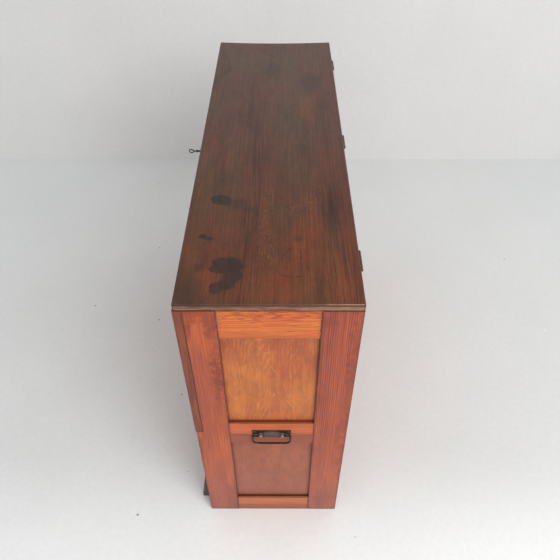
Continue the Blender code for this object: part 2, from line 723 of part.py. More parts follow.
def handle(name, side):
    """Back plate with its lugs and the bail that swings in them."""
    face = side * LENGTH / 2
    ear_low = PLATE_ABOVE - PLATE_EAR_HEIGHT
    half = PLATE_WIDTH / 2
    pad_half = PAD_WIDTH / 2
    right_half = [
        (0, PLATE_ABOVE - ARRIS),
        (EAR_SCREW_SPREAD, PLATE_ABOVE - ARRIS),
        (half, PLATE_ABOVE),
        (half - ARRIS, PLATE_ABOVE - PLATE_EAR_HEIGHT / 2),
        (EAR_SCREW_SPREAD - LUG_WIDTH / 2, ear_low),
        (LUG_SPREAD + LUG_WIDTH, ear_low),
        (LUG_SPREAD, -PLATE_BELOW + ARRIS),
        (pad_half, -PLATE_BELOW),
    ]
    outline = right_half + mirrored(right_half[1:])
    outline = [(across, up + HANDLE_HEIGHT) for across, up in outline]
    back_of_plate = face + side * FIT
    front_of_plate = back_of_plate + side * PLATE_THICKNESS
    plate = prism(f"{name}_handle_plate", outline, 0, *sorted((back_of_plate, front_of_plate)), "iron")
    pad_x = sorted((front_of_plate - side * PLATE_THICKNESS / 2, front_of_plate + side * PAD_THICKNESS))
    pad_z = (HANDLE_HEIGHT - PLATE_BELOW + PAD_MARGIN, HANDLE_HEIGHT + PLATE_ABOVE - PAD_MARGIN)
    fuse(plate, blocks(f"{name}_pad", [((pad_x[0], -pad_half, pad_z[0]), (pad_x[1], pad_half, pad_z[1]))]))
    eye = (face + side * BAIL_STANDOFF, HANDLE_HEIGHT)
    for label, centre in (("front", -LUG_SPREAD), ("back", LUG_SPREAD)):
        fuse(plate, lug(f"{name}_{label}_lug", eye, side, centre, back_of_plate))
    wire_hole = BAIL_WIRE_RADIUS + FIT
    bore_start = (eye[0], -half, eye[1])
    cut(plate, turned(f"{name}_eyes", bore_start, (0, 1, 0), ((0, wire_hole), (PLATE_WIDTH, wire_hole)),
                      KNUCKLE_SIDES))
    ear_z = HANDLE_HEIGHT + EAR_SCREW_RISE
    spots = [(front_of_plate, y, ear_z) for y in (-EAR_SCREW_SPREAD, EAR_SCREW_SPREAD)]
    spots.append((front_of_plate + side * PAD_THICKNESS, 0, HANDLE_HEIGHT + PAD_SCREW_RISE))
    cut(plate, screw_holes(f"{name}_handle_holes", spots, (-side, 0, 0), PLATE_THICKNESS + PAD_THICKNESS))
    pivot = add_pivot(f"{name}_bail_pivot", (eye[0], 0, eye[1]))
    bail(f"{name}_bail", eye[0], pivot)


def lug(name, eye, side, centre, back_of_plate):
    """An ear with a round nose that stands out of the plate and holds the bail."""
    start = 90 if side < 0 else -90
    nose = arc(eye, LUG_RADIUS, start, start + 180, ARC_STEPS)
    root_x = back_of_plate + side * PLATE_THICKNESS / 2
    outline = nose + [(root_x, nose[-1][1]), (root_x, nose[0][1])]
    return prism(name, outline, 1, centre - LUG_WIDTH / 2, centre + LUG_WIDTH / 2)


def bail(name, x, pivot):
    """The drop handle: iron wire that turns in at the top, into the lugs."""
    tip = LUG_SPREAD - LUG_WIDTH / 2 - BAIL_END_PROUD
    low = HANDLE_HEIGHT - BAIL_DROP
    corners = [(x, -tip, HANDLE_HEIGHT), (x, -BAIL_SPREAD, HANDLE_HEIGHT), (x, -BAIL_SPREAD, low),
               (x, BAIL_SPREAD, low), (x, BAIL_SPREAD, HANDLE_HEIGHT), (x, tip, HANDLE_HEIGHT)]
    bends = (BAIL_UPPER_BEND, BAIL_LOWER_BEND, BAIL_LOWER_BEND, BAIL_UPPER_BEND)
    rod(name, filleted(corners, bends), BAIL_WIRE_RADIUS, (1, 0, 0), WIRE_SIDES, False, "iron", pivot)


def feet():
    """A tapered foot at each front corner, against the lower front."""
    back = FRONT - FIT
    outline = [(back, 0), (FRONT - FOOT_REACH, 0), (FRONT - FOOT_REACH, FOOT_NOSE),
               (FRONT - FOOT_TOP_THICKNESS, FOOT_HEIGHT), (back, FOOT_HEIGHT)]
    outer = LENGTH / 2 - FOOT_INSET
    for name, side in (("left_front_foot", -1), ("right_front_foot", 1)):
        across = sorted((side * outer, side * (outer - FOOT_WIDTH)))
        prism(name, outline, 0, *across, "foot_black")


def hanging_rods():
    """Two steel rods that reach forward from the back's top rail, with upturned tips."""
    wall = BACK - LONG_FRAME_THICKNESS - FIT
    z = CARCASS_TOP - ROD_DROP
    tip_y = FLAP_INNER_FACE + ROD_TIP_GAP
    for name, side in (("left_hanging_rod", -1), ("right_hanging_rod", 1)):
        x = side * ROD_SPREAD
        low = (x - ROD_PLATE_WIDTH / 2, wall - ROD_PLATE_THICKNESS, z - ROD_PLATE_HEIGHT / 2)
        high = (x + ROD_PLATE_WIDTH / 2, wall, z + ROD_PLATE_HEIGHT / 2)
        plate = blocks(name, [(low, high)], "steel")
        corners = [(x, wall - ROD_PLATE_THICKNESS / 2, z), (x, tip_y, z), (x, tip_y, z + ROD_TIP_RISE)]
        fuse(plate, rod(f"{name}_bar", filleted(corners, [ROD_BEND]), ROD_RADIUS, (1, 0, 0), KNUCKLE_SIDES))
        spots = [(x, wall - ROD_PLATE_THICKNESS, z + rise) for rise in (-ROD_SCREW_SPREAD, ROD_SCREW_SPREAD)]
        cut(plate, screw_holes(f"{name}_holes", spots, (0, 1, 0), ROD_PLATE_THICKNESS))


def crossing(radius, height):
    """How far from the pivot an arc of the hook crosses a level above the pivot."""
    return math.sqrt(radius ** 2 - height ** 2)


def lock(rail, pivot):
    """Lock case let into the flap's top rail, with the pin that the hook turns on."""
    case_half = LOCK_CASE_WIDTH / 2
    case_low = FLAP_TOP - LOCK_CASE_HEIGHT
    case_front = FLAP_INNER_FACE - LOCK_CASE_DEPTH
    back_half = LOCK_BACK_WIDTH / 2
    case = blocks("lock_case", [(
        (-case_half, case_front, case_low), (case_half, FLAP_INNER_FACE, FLAP_TOP))], "steel", pivot)
    fuse(case, blocks("lock_selvedge", [(
        (-back_half, case_front, FLAP_TOP - LOCK_PLATE), (back_half, FLAP_INNER_FACE, FLAP_TOP))]))
    fuse(case, blocks("lock_back", [(
        (-back_half, FLAP_INNER_FACE - LOCK_PLATE, case_low), (back_half, FLAP_INNER_FACE, FLAP_TOP))]))
    cavity = ((-case_half + LOCK_PLATE, case_front - OVERRUN, case_low + LOCK_PLATE),
              (case_half - LOCK_PLATE, FLAP_INNER_FACE - LOCK_PLATE, FLAP_TOP - LOCK_PLATE))
    cut(case, blocks("lock_cavity", [cavity]))
    pin_start = (HOOK_PIVOT_X, FLAP_INNER_FACE - LOCK_PLATE / 2, HOOK_Z)
    pin_length = HOOK_STANDOFF + HOOK_THICKNESS + LOCK_PLATE
    fuse(case, turned("hook_pin", pin_start, (0, -1, 0),
                      ((0, HOOK_PIVOT_RADIUS), (pin_length, HOOK_PIVOT_RADIUS)), KNUCKLE_SIDES))
    low_level = HOOK_PIVOT_DROP - LOCK_PLATE
    slot_start = HOOK_PIVOT_X + crossing(HOOK_INNER_RADIUS, HOOK_PIVOT_DROP) - HOOK_SLACK
    slot_end = HOOK_PIVOT_X + crossing(HOOK_OUTER_RADIUS, low_level) + HOOK_SLACK
    cut(case, blocks("lock_slot", [(
        (slot_start, HOOK_FRONT - HOOK_SLACK, FLAP_TOP - LOCK_PLATE - OVERRUN),
        (slot_end, HOOK_BACK + HOOK_SLACK, FLAP_TOP + OVERRUN))]))
    inside = FLAP_INNER_FACE + OVERRUN
    cut(rail, blocks("lock_pocket", [(
        (-case_half - FIT, case_front - FIT, case_low - FIT),
        (case_half + FIT, inside, FLAP_TOP + OVERRUN))]))
    cut(rail, blocks("selvedge_recess", [(
        (-back_half - FIT, case_front - FIT, FLAP_TOP - LOCK_PLATE - FIT),
        (back_half + FIT, inside, FLAP_TOP + OVERRUN))]))
    cut(rail, blocks("lock_back_recess", [(
        (-back_half - FIT, FLAP_INNER_FACE - LOCK_PLATE - FIT, case_low - FIT),
        (back_half + FIT, inside, FLAP_TOP + OVERRUN))]))
    spots = [(x, FLAP_INNER_FACE, FLAP_TOP - drop)
             for x in (-LOCK_SCREW_SPREAD, LOCK_SCREW_SPREAD) for drop in LOCK_SCREW_DROPS]
    cut(case, screw_holes("lock_screw_holes", spots, (0, -1, 0), LOCK_PLATE))


def hook_bolt(pivot):
    """The hook: an arc about its own pin, so that it swings through its slots."""
    hub_end = HOOK_TAIL_ANGLE + HOOK_SPOKE_ANGLE
    outline = arc((0, 0), HOOK_OUTER_RADIUS, HOOK_TIP_ANGLE, HOOK_TAIL_ANGLE, ARC_STEPS)
    outline += arc((0, 0), HOOK_HUB_RADIUS, HOOK_TAIL_ANGLE, hub_end - 360, ARC_STEPS)
    outline += arc((0, 0), HOOK_INNER_RADIUS, hub_end, HOOK_TIP_ANGLE, ARC_STEPS)
    outline = [(HOOK_PIVOT_X + across, HOOK_Z + up) for across, up in outline]
    hook = prism("lock_hook_bolt", outline, 1, HOOK_FRONT, HOOK_BACK, "steel", pivot)
    eye = HOOK_PIVOT_RADIUS + PIN_SLACK
    start = (HOOK_PIVOT_X, HOOK_FRONT, HOOK_Z)
    cut(hook, turned("hook_eye", start, (0, 1, 0), ((-OVERRUN, eye), (HOOK_THICKNESS + OVERRUN, eye)),
                     KNUCKLE_SIDES))


def strike(lid, pivot):
    """The plate under the lid that the hook catches, and the mortise above it."""
    plate_low = HOOK_MIDDLE - STRIKE_WIDTH / 2
    plate_high = HOOK_MIDDLE + STRIKE_WIDTH / 2
    half = STRIKE_LENGTH / 2
    plate_top = LID_UNDERSIDE + STRIKE_THICKNESS
    plate = blocks("strike_plate", [((-half, plate_low, LID_UNDERSIDE), (half, plate_high, plate_top))],
                   "steel", pivot)
    slot_start = HOOK_PIVOT_X + crossing(HOOK_INNER_RADIUS, plate_top - HOOK_Z) - HOOK_SLACK
    slot_end = HOOK_PIVOT_X + crossing(HOOK_OUTER_RADIUS, LID_UNDERSIDE - HOOK_Z) + HOOK_SLACK
    across = (HOOK_FRONT - HOOK_SLACK, HOOK_BACK + HOOK_SLACK)
    cut(plate, blocks("strike_slot", [(
        (slot_start, across[0], LID_UNDERSIDE - OVERRUN), (slot_end, across[1], plate_top + OVERRUN))]))
    cut(lid, blocks("strike_recess", [(
        (-half - FIT, plate_low - FIT, LID_UNDERSIDE - OVERRUN),
        (half + FIT, plate_high + FIT, plate_top + FIT))]))
    mortise_top = HOOK_Z + HOOK_OUTER_RADIUS + HOOK_SLACK
    cut(lid, blocks("strike_mortise", [(
        (HOOK_PIVOT_X - HOOK_HUB_RADIUS, across[0], plate_top), (slot_end, across[1], mortise_top))]))
    spots = [(x, HOOK_MIDDLE, LID_UNDERSIDE) for x in (-STRIKE_SCREW_SPREAD, STRIKE_SCREW_SPREAD)]
    cut(plate, screw_holes("strike_screw_holes", spots, (0, 0, 1), STRIKE_THICKNESS))


def key(pivot):
    """Old iron key: an oval wire bow, a collar and a stem with its bit in the lock."""
    turn = math.radians(KEY_TURN)
    rise = Vector((math.sin(turn), 0, math.cos(turn)))
    normal = Vector((math.cos(turn), 0, -math.sin(turn)))
    out = Vector((0, -1, 0))
    bow_reach = KEY_REACH - KEY_BOW_LENGTH / 2
    centre = Vector((0, FLAP_FACE, KEY_Z)) + out * bow_reach
    half_length = KEY_BOW_LENGTH / 2 - KEY_WIRE_RADIUS
    half_width = KEY_BOW_WIDTH / 2 - KEY_WIRE_RADIUS
    path = []
    for i in range(BOW_STEPS):
        angle = 2 * math.pi * i / BOW_STEPS
        path.append(centre + out * (half_length * math.cos(angle)) + rise * (half_width * math.sin(angle)))
    stem_end = HOOK_FRONT - 2 * FIT
    start = Vector((0, stem_end, KEY_Z))
    collar = stem_end - FLAP_FACE + KEY_COLLAR_REACH
    root = stem_end - FLAP_FACE + KEY_REACH - KEY_BOW_LENGTH + KEY_WIRE_RADIUS
    profile = (
        (0, KEY_STEM_RADIUS),
        (collar - KEY_COLLAR_WIDTH / 2, KEY_STEM_RADIUS),
        (collar - KEY_COLLAR_WIDTH / 4, KEY_COLLAR_RADIUS),
        (collar + KEY_COLLAR_WIDTH / 4, KEY_COLLAR_RADIUS),
        (collar + KEY_COLLAR_WIDTH / 2, KEY_STEM_RADIUS),
        (root, KEY_WIRE_RADIUS),
    )
    stem = turned("key", start, out, profile, KNUCKLE_SIDES, "iron", pivot)
    fuse(stem, rod("key_bow", path, KEY_WIRE_RADIUS, normal, WIRE_SIDES, True))
    shape = bmesh.new()
    add_block(shape, (-KEY_BIT_THICKNESS / 2, -KEY_BIT_WIDTH, -KEY_BIT_LENGTH),
              (KEY_BIT_THICKNESS / 2, 0, -KEY_WIRE_RADIUS))
    shape.transform(Matrix.Translation(start) @ Matrix.Rotation(turn, 4, "Y"))
    fuse(stem, add_object("key_bit", shape))


def keyhole(rail, pivot):
    """The escutcheon on the flap, and the hole through it and the rail."""
    half = ESCUTCHEON_WIDTH / 2
    rise = ESCUTCHEON_HEIGHT / 2 - half
    middle = KEY_Z - KEY_BIT_LENGTH / 2
    outline = arc((0, middle + rise), half, 0, 180, ARC_STEPS)
    outline += arc((0, middle - rise), half, 180, 360, ARC_STEPS)
    back = FLAP_FACE - FIT
    plate = prism("keyhole_escutcheon", outline, 1, back - ESCUTCHEON_THICKNESS, back, "iron", pivot)
    hole = KEY_STEM_RADIUS + KEY_HOLE_SLACK
    front = back - ESCUTCHEON_THICKNESS - OVERRUN
    inside = FLAP_INNER_FACE - LOCK_CASE_DEPTH + OVERRUN
    start = (0, front, KEY_Z)
    profile = ((0, hole), (inside - front, hole))
    round_hole = turned("keyhole_round", start, (0, 1, 0), profile, KNUCKLE_SIDES)
    slot_half = KEY_BIT_THICKNESS / 2 + KEY_HOLE_SLACK
    slot_low = KEY_Z - KEY_BIT_LENGTH - KEY_HOLE_SLACK
    slot = blocks("keyhole_slot", [((-slot_half, front, slot_low), (slot_half, inside, KEY_Z))])
    for piece in (plate, rail):
        cut(piece, round_hole, slot)


def build():
    """Builds the whole chest."""
    for old in list(bpy.data.objects):
        bpy.data.objects.remove(old, do_unlink=True)
    lid_pivot = add_pivot("lid_pivot", (0, LID_AXIS_Y, LID_AXIS_Z))
    flap_pivot = add_pivot("flap_pivot", (0, FLAP_AXIS_Y, FLAP_AXIS_Z))
    key_pivot = add_pivot("key_pivot", (0, FLAP_FACE, KEY_Z))
    hook_pivot = add_pivot("hook_pivot", (HOOK_PIVOT_X, HOOK_MIDDLE, HOOK_Z))

    end_frame("right_end", 1)
    end_frame("left_end", -1)
    back_rail = back_frame()
    hinge_rail = lower_front()
    bottom_board()
    flap_bottom_rail, flap_top_rail = flap_frame(flap_pivot)
    lid = lid_board(lid_pivot)
    lid_row = HingeRow("lid_hinge", LID_AXIS_Y, LID_AXIS_Z, -1)
    lid_row.hang(back_rail, CARCASS_TOP, lid, LID_UNDERSIDE, lid_pivot)
    flap_row = HingeRow("flap_hinge", FLAP_AXIS_Y, FLAP_AXIS_Z, 1)
    flap_row.hang(hinge_rail, FLAP_SEAT, flap_bottom_rail, FLAP_BOTTOM, flap_pivot)
    strike(lid, lid_pivot)
    lock(flap_top_rail, flap_pivot)
    hook_bolt(hook_pivot)
    key(key_pivot)
    keyhole(flap_top_rail, flap_pivot)
    for name, side in (("right", 1), ("left", -1)):
        handle(name, side)
    feet()
    hanging_rods()


build()
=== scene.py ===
"""A narrow plan chest in stained pine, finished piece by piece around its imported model."""

import math
from collections import namedtuple
from functools import partial, reduce
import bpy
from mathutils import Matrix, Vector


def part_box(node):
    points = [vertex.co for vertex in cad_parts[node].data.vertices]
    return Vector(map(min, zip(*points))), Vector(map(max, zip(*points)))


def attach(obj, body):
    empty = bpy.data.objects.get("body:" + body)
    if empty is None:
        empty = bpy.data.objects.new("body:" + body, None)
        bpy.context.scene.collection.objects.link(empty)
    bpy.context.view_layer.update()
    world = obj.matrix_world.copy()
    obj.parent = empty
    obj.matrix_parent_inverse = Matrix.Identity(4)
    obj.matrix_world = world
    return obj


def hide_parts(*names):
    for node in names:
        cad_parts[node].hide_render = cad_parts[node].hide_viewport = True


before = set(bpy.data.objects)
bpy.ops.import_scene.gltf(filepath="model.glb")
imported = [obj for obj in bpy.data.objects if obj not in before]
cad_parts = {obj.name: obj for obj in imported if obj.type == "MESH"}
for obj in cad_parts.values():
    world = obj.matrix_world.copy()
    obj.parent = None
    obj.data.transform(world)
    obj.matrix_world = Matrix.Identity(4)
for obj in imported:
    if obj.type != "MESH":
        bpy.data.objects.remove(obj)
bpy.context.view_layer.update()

from types import SimpleNamespace

import bmesh
import bpy
from bpy.props import FloatProperty, FloatVectorProperty, PointerProperty
from mathutils import Matrix, Vector

bl_info = {
    "name": "Plan chest",
    "version": (1, 0, 0),
    "blender": (4, 5, 0),
    "location": "3D View > Sidebar > Plan chest",
    "description": "Finishes a stained pine plan chest piece by piece",
    "category": "Object",
}

MM = 0.001
X, Y, Z = (Vector((1, 0, 0)), Vector((0, 1, 0)), Vector((0, 0, 1)))


def shade(red, green, blue):
    """A colour picked on a screen, in the linear values that shaders take."""
    def linear(value):
        value /= 255
        return value / 12.92 if value <= 0.04045 else ((value + 0.055) / 1.055) ** 2.4
    return (linear(red), linear(green), linear(blue))


# What a user would change

def tint(name, description, screen_colour):
    return FloatVectorProperty(name=name, description=description, subtype="COLOR", size=3, min=0, max=1,
                               default=shade(*screen_colour))


def length(name, description, metres):
    return FloatProperty(name=name, description=description, default=metres, min=0, unit="LENGTH",
                         precision=4)


def angle(name, description, degrees):
    return FloatProperty(name=name, description=description, default=math.radians(degrees), subtype="ANGLE")


class ChestStains(bpy.types.PropertyGroup):
    """Colours of the wood"""
    lid: tint("Lid", "Dark stain on the lid", (106, 54, 34))
    lid_second: tint("Lid, second tint", "Olive tint that the lid's stain drifts to", (98, 60, 36))
    lid_line: tint("Lid lines", "Latewood lines of the lid", (50, 22, 20))
    lid_core: tint("Lid core", "Bare core showing on the lid's end", (148, 108, 84))
    lid_soiled: tint("Lid core, soiled", "Dirty stretches of the lid's core", (84, 58, 50))
    lid_fade: tint("Lid fading", "Dirty pale bloom on the lid", (132, 102, 60))
    stile: tint("Stiles", "Red stain on the stiles", (166, 74, 44))
    stile_second: tint("Stiles, second tint", "Orange that the stiles' stain drifts to", (188, 88, 38))
    stile_line: tint("Stile lines", "Latewood lines of the stiles", (104, 34, 32))
    rail: tint("Rails", "Orange stain on the rails", (208, 98, 42))
    rail_second: tint("Rails, second tint", "Yellow that the rails' stain drifts to", (212, 116, 38))
    rail_line: tint("Rail lines", "Latewood lines of the rails", (142, 38, 22))
    panel: tint("Panels", "Stain on the upper panels", (176, 84, 40))
    panel_line: tint("Panel figure", "Pale figure of the upper panels", (216, 136, 50))
    lower_panel: tint("Lower panels", "Stain on the lower panels", (156, 78, 47))
    lower_panel_line: tint("Lower panel figure", "Figure of the lower panels", (174, 96, 58))
    pine: tint("Bare pine", "Unstained wood inside", (206, 168, 120))
    pine_line: tint("Bare pine lines", "Latewood lines of the unstained wood", (168, 116, 72))
    handled: tint("Handled wood", "Brown of wood that hands have darkened", (132, 64, 43))
    dust: tint("Dust", "Floor dust on the lower part of the chest", (164, 130, 124))
    # Soiling colour, also used as painted shade along recessed edges, at the panels' feet and on the ledges
    # before them
    grime: tint("Grime", "Dirt in corners, joints and edges", (46, 22, 20))
    wear: tint("Wear", "Wood laid bare along worn edges", (214, 170, 134))
    spill: tint("Spills", "Ink spilled on the lid", (42, 31, 28))
    foot: tint("Feet", "Black stain on the feet", (44, 30, 27))


class ChestHardware(bpy.types.PropertyGroup):
    """Sizes and colours of the ironwork"""
    iron: tint("Iron", "Key and keyhole plate", (58, 54, 54))
    iron_worn: tint("Worn iron", "Iron worn on what stands proud", (128, 122, 118))
    iron_handle: tint("Handle iron", "Darker iron of the handles", (42, 34, 32))
    iron_pad: tint("Handle pad", "Greyer iron in the middle of a handle's plate", (92, 80, 80))
    # Also the colour of painted highlights on the lugs, screw heads and bail
    iron_rubbed_and_highlight: tint("Rubbed iron", "Iron rubbed bright on lugs and bends", (134, 122, 106))
    steel: tint("Steel", "Hinges, lock and rods", (92, 82, 74))
    rust: tint("Rust", "Rust in the pits of the metal", (96, 62, 44))
    screw_radius: length("Screw head", "Radius of a countersunk head", 3.15 * MM)
    screw_slot: length("Screw slot", "Width of a head's slot", 0.8 * MM)
    edge_round: length("Edge rounding", "Rounding on the edges of the handles' plates", 0.35 * MM)


class ChestStudio(bpy.types.PropertyGroup):
    """Floor, wall, light and camera"""
    floor: tint("Floor", "Pale floor", (224, 226, 225))
    wall: tint("Wall", "Pale wall behind the chest", (230, 230, 229))
    light_power: FloatProperty(name="Light", description="Power of the large lamp", default=74.0, min=0,
                               unit="POWER")
    fill: FloatProperty(name="Fill", description="Strength of the light from all round", default=0.72, min=0)
    camera_place: FloatVectorProperty(name="Camera", description="Where the camera stands", size=3,
                                      subtype="TRANSLATION", unit="LENGTH",
                                      default=(1.36246, 0.02571, 1.72579))
    camera_down: angle("Camera tilt", "How far the camera looks down", 44.8195)
    camera_turn: angle("Camera turn", "Turn of the camera from the chest's length", 0.2841)
    camera_roll: angle("Camera roll", "Lean of the camera", -0.1063)
    lens: FloatProperty(name="Lens", description="Focal length in millimetres", default=36.568, min=1)


def stains():
    return bpy.context.scene.chest_stains


def hardware():
    return bpy.context.scene.chest_hardware


def studio():
    return bpy.context.scene.chest_studio


# Node trees

class Nodes:
    """Adds nodes to a tree; each input is linked to a socket or set to a value."""

    def __init__(self, tree):
        self.tree = tree

    def feed(self, inputs, values):
        for name, value in values.items():
            if isinstance(value, bpy.types.NodeSocket):
                self.tree.links.new(value, inputs[name])
            elif inputs[name].type == "RGBA" and len(value) == 3:
                inputs[name].default_value = (*value, 1.0)
            else:
                inputs[name].default_value = value

    def add(self, kind, inputs=None, **settings):
        node = self.tree.nodes.new(kind)
        for name, value in settings.items():
            setattr(node, name, value)
        self.feed(node.inputs, inputs or {})
        return node

    def group(self, name, build, values):
        """The outputs of a named node group, which is built the first time that it is asked for."""
        if name not in bpy.data.node_groups:
            build(name)
        return self.add("ShaderNodeGroup", values, node_tree=bpy.data.node_groups[name]).outputs

    def math(self, operation, *values):
        return self.add("ShaderNodeMath", dict(enumerate(values)), operation=operation).outputs[0]

    def plus(self, *values):
        return reduce(partial(self.math, "ADD"), values)

    def minus(self, first, second):
        return self.math("SUBTRACT", first, second)

    def times(self, *values):
        return reduce(partial(self.math, "MULTIPLY"), values)

    def vector(self, operation, *values):
        node = self.add("ShaderNodeVectorMath", dict(enumerate(values)), operation=operation)
        return node.outputs["Value" if operation in ("LENGTH", "DOT_PRODUCT") else "Vector"]

    def parts(self, vector):
        return self.add("ShaderNodeSeparateXYZ", {0: vector}).outputs

    def join(self, x, y, z):
        return self.add("ShaderNodeCombineXYZ", {0: x, 1: y, 2: z}).outputs[0]

    def coordinates(self, kind="Object"):
        return self.add("ShaderNodeTexCoord").outputs[kind]

    def noise(self, vector, stretch, detail=2.0, roughness=0.5, distortion=0.0, output=0):
        """Noise drawn as tightly along each direction as the stretch says."""
        stretched = self.vector("MULTIPLY", vector, stretch)
        return self.add("ShaderNodeTexNoise", {"Vector": stretched, "Scale": 1.0, "Detail": detail,
                                               "Roughness": roughness, "Distortion": distortion}).outputs[output]

    def noises(self, vector, table):
        """One noise for each row of a table, by its name."""
        return SimpleNamespace(**{name: self.noise(vector, *row) for name, row in table.items()})

    def swing(self, value, reach):
        """Noise from 0 to 1 turned into a shift of up to the reach to either side."""
        return self.times(self.minus(value, 0.5), self.times(reach, 2.0))

    def shift(self, vector, scale, detail, reach):
        """A shift to all sides by noise, which makes the rims of what is drawn there ragged."""
        noise = self.noise(vector, (scale, scale, scale), detail, output="Color")
        return self.vector("MULTIPLY", self.vector("SUBTRACT", noise, (0.5, 0.5, 0.5)), reach)

    def step(self, value, low, high):
        """A smooth rise from 0 at low to 1 at high; low may be the larger."""
        return self.add("ShaderNodeMapRange", {0: value, 1: low, 2: high},
                        interpolation_type="SMOOTHSTEP").outputs[0]

    def band(self, value, rise, fall):
        """1 between a rise and a fall, each given by where it starts and ends."""
        return self.times(self.step(value, *rise), self.step(value, *fall))

    def grade(self, value, low, high):
        """The value between 0 and 1 laid out evenly between low and high."""
        return self.add("ShaderNodeMapRange", {0: value, 3: low, 4: high}).outputs[0]

    def mix(self, factor, first, second, blend="MIX"):
        node = self.add("ShaderNodeMix", {0: factor, 6: first, 7: second}, data_type="RGBA", blend_type=blend)
        return node.outputs[2]

    def multiplied(self, first, second):
        return self.mix(1.0, first, second, "MULTIPLY")

    def tinted(self, amount, colour, filter_colour):
        """The colour seen through a filter, as far as the amount says."""
        return self.mix(amount, colour, self.multiplied(colour, filter_colour))

    def toned(self, colour, *greys):
        """The colour made darker or lighter by greys round 1."""
        tone = self.times(*greys)
        return self.multiplied(colour, self.join(tone, tone, tone))


def new_group(name, inputs, outputs, tree_kind="ShaderNodeTree"):
    """A node group whose sockets are listed by kind: its nodes, its given sockets and its results."""
    tree = bpy.data.node_groups.new(name, tree_kind)
    for way, kinds in (("INPUT", inputs), ("OUTPUT", outputs)):
        for kind, labels in kinds.items():
            for label in labels.split(", "):
                tree.interface.new_socket(label, in_out=way, socket_type=f"NodeSocket{kind}")
    nodes = Nodes(tree)
    return nodes, nodes.add("NodeGroupInput").outputs, nodes.add("NodeGroupOutput").inputs


def new_material(name):
    material = bpy.data.materials.new(name)
    material.use_nodes = True
    return material, Nodes(material.node_tree), material.node_tree.nodes["Principled BSDF"]


def finish_surface(nodes, shader, colour, roughness, height, relief):
    """Feeds a shader with colour, roughness and a bump of the given depth."""
    bump = nodes.add("ShaderNodeBump", {"Strength": 1.0, "Distance": relief, "Height": height})
    nodes.feed(shader.inputs, {"Base Color": colour, "Roughness": roughness, "Normal": bump.outputs[0]})


def dress(obj, material):
    """Gives an object one material in all its slots."""
    if not obj.material_slots:
        obj.data.materials.append(material)
    for slot in obj.material_slots:
        slot.material = material


# Wood

# Heights between which the floor's dust fades in, and how thick it lies at the foot
DUST_RISE = (0.5, -0.1)
DUST_FILM = 0.24
# Distances from a board's edge: the soft band of soiling and painted shade, the dark corner line (a dark joint,
# and also painted shade along a recess) and the worn edge
SOILING_AND_SHADE_BAND = (11 * MM, 0.0)
CORNER_LINE = (1.7 * MM, 0.6 * MM)
WORN_EDGE = (0.9 * MM, -0.4 * MM)


def dusted(nodes, colour):
    """The colour under the film of floor dust that the chest's foot has gathered."""
    height = nodes.parts(nodes.coordinates())[2]
    return nodes.mix(nodes.times(nodes.step(height, *DUST_RISE), DUST_FILM), colour, stains().dust)


def build_edge_soiling_and_shade(name):
    """Soiling and wear by the distance to a board's nearest edge; along the edges of a recess the darkening is
    painted shade.
    """
    nodes, given, result = new_group(name, dict(Vector="Place, Half Size, Seed"), dict(Float="Grime, Wear"))
    from_middle = nodes.vector("ABSOLUTE", given["Place"])
    inside = nodes.parts(nodes.vector("SUBTRACT", given["Half Size"], from_middle))
    # On a face one of the three distances is nothing, so the next smallest is the one to its edge.
    nearer = nodes.math("MINIMUM", inside[0], inside[1])
    farther = nodes.math("MAXIMUM", inside[0], inside[1])
    distance = nodes.math("MAXIMUM", nearer, nodes.math("MINIMUM", farther, inside[2]))
    ragged = nodes.noise(given["Seed"], (24, 50, 50), 3)
    fine = nodes.noise(given["Seed"], (40, 240, 240), 3)
    # The band and the corner line darken the edges: soiling at joints and outer edges, painted shade where an
    # edge borders a panel's recess.
    band = nodes.step(nodes.plus(distance, nodes.swing(ragged, 4 * MM)), *SOILING_AND_SHADE_BAND)
    line = nodes.step(distance, *CORNER_LINE)
    nodes.feed(result, {
        "Grime": nodes.plus(nodes.times(band, 0.25), nodes.times(line, 0.75)),
        "Wear": nodes.step(nodes.plus(distance, nodes.swing(fine, 3 * MM)), *WORN_EDGE),
    })


def edge_soiling_and_shade(nodes, given, seeded):
    return nodes.group("Edge soiling and shade", build_edge_soiling_and_shade,
                       {"Place": given["Place"], "Half Size": given["Half Size"], "Seed": seeded})


# Each noise: how tightly it is drawn along, across and through the board, then detail, roughness, distortion
BOARD_NOISE = {
    "slow": ((2.6, 7, 7), 1.5, 0.5, 0.3),
    "quick": ((18, 60, 60), 3, 0.6),
    "bunch": ((2.4, 30, 30), 2),
    "fibre": ((14, 620, 620), 4, 0.65),
    "streak": ((4, 120, 120), 3, 0.6),
    "thread": ((7, 300, 300), 3, 0.6),
    "blotch": ((5, 15, 15), 5, 0.62, 0.5),
    "drifted": ((3.1, 9, 9), 3, 0.55),
}
VENEER_NOISE = {
    "lean": ((5, 4, 4), 1),
    "bend": ((9, 26, 26), 2, 0.5, 0.2),
    "jag": ((60, 190, 190), 2, 0.6),
    "patchy": ((12, 30, 30), 3),
    "silk": ((6, 300, 300), 3),
    "fibre": ((22, 520, 520), 4, 0.65),
    "streak": ((6, 80, 80), 3, 0.6),
    "smudge": ((9, 16, 16), 4, 0.6, 0.8),
    "sunny": ((4, 10, 10), 2),
    "mottle": ((26, 60, 60), 5, 0.62, 0.4),
}
# How far a seed of 1 moves the noise along, across and through
BOARD_STRIDE = (3.1, 7.7, 5.3)
VENEER_STRIDE = (5.9, 3.7, 4.3)


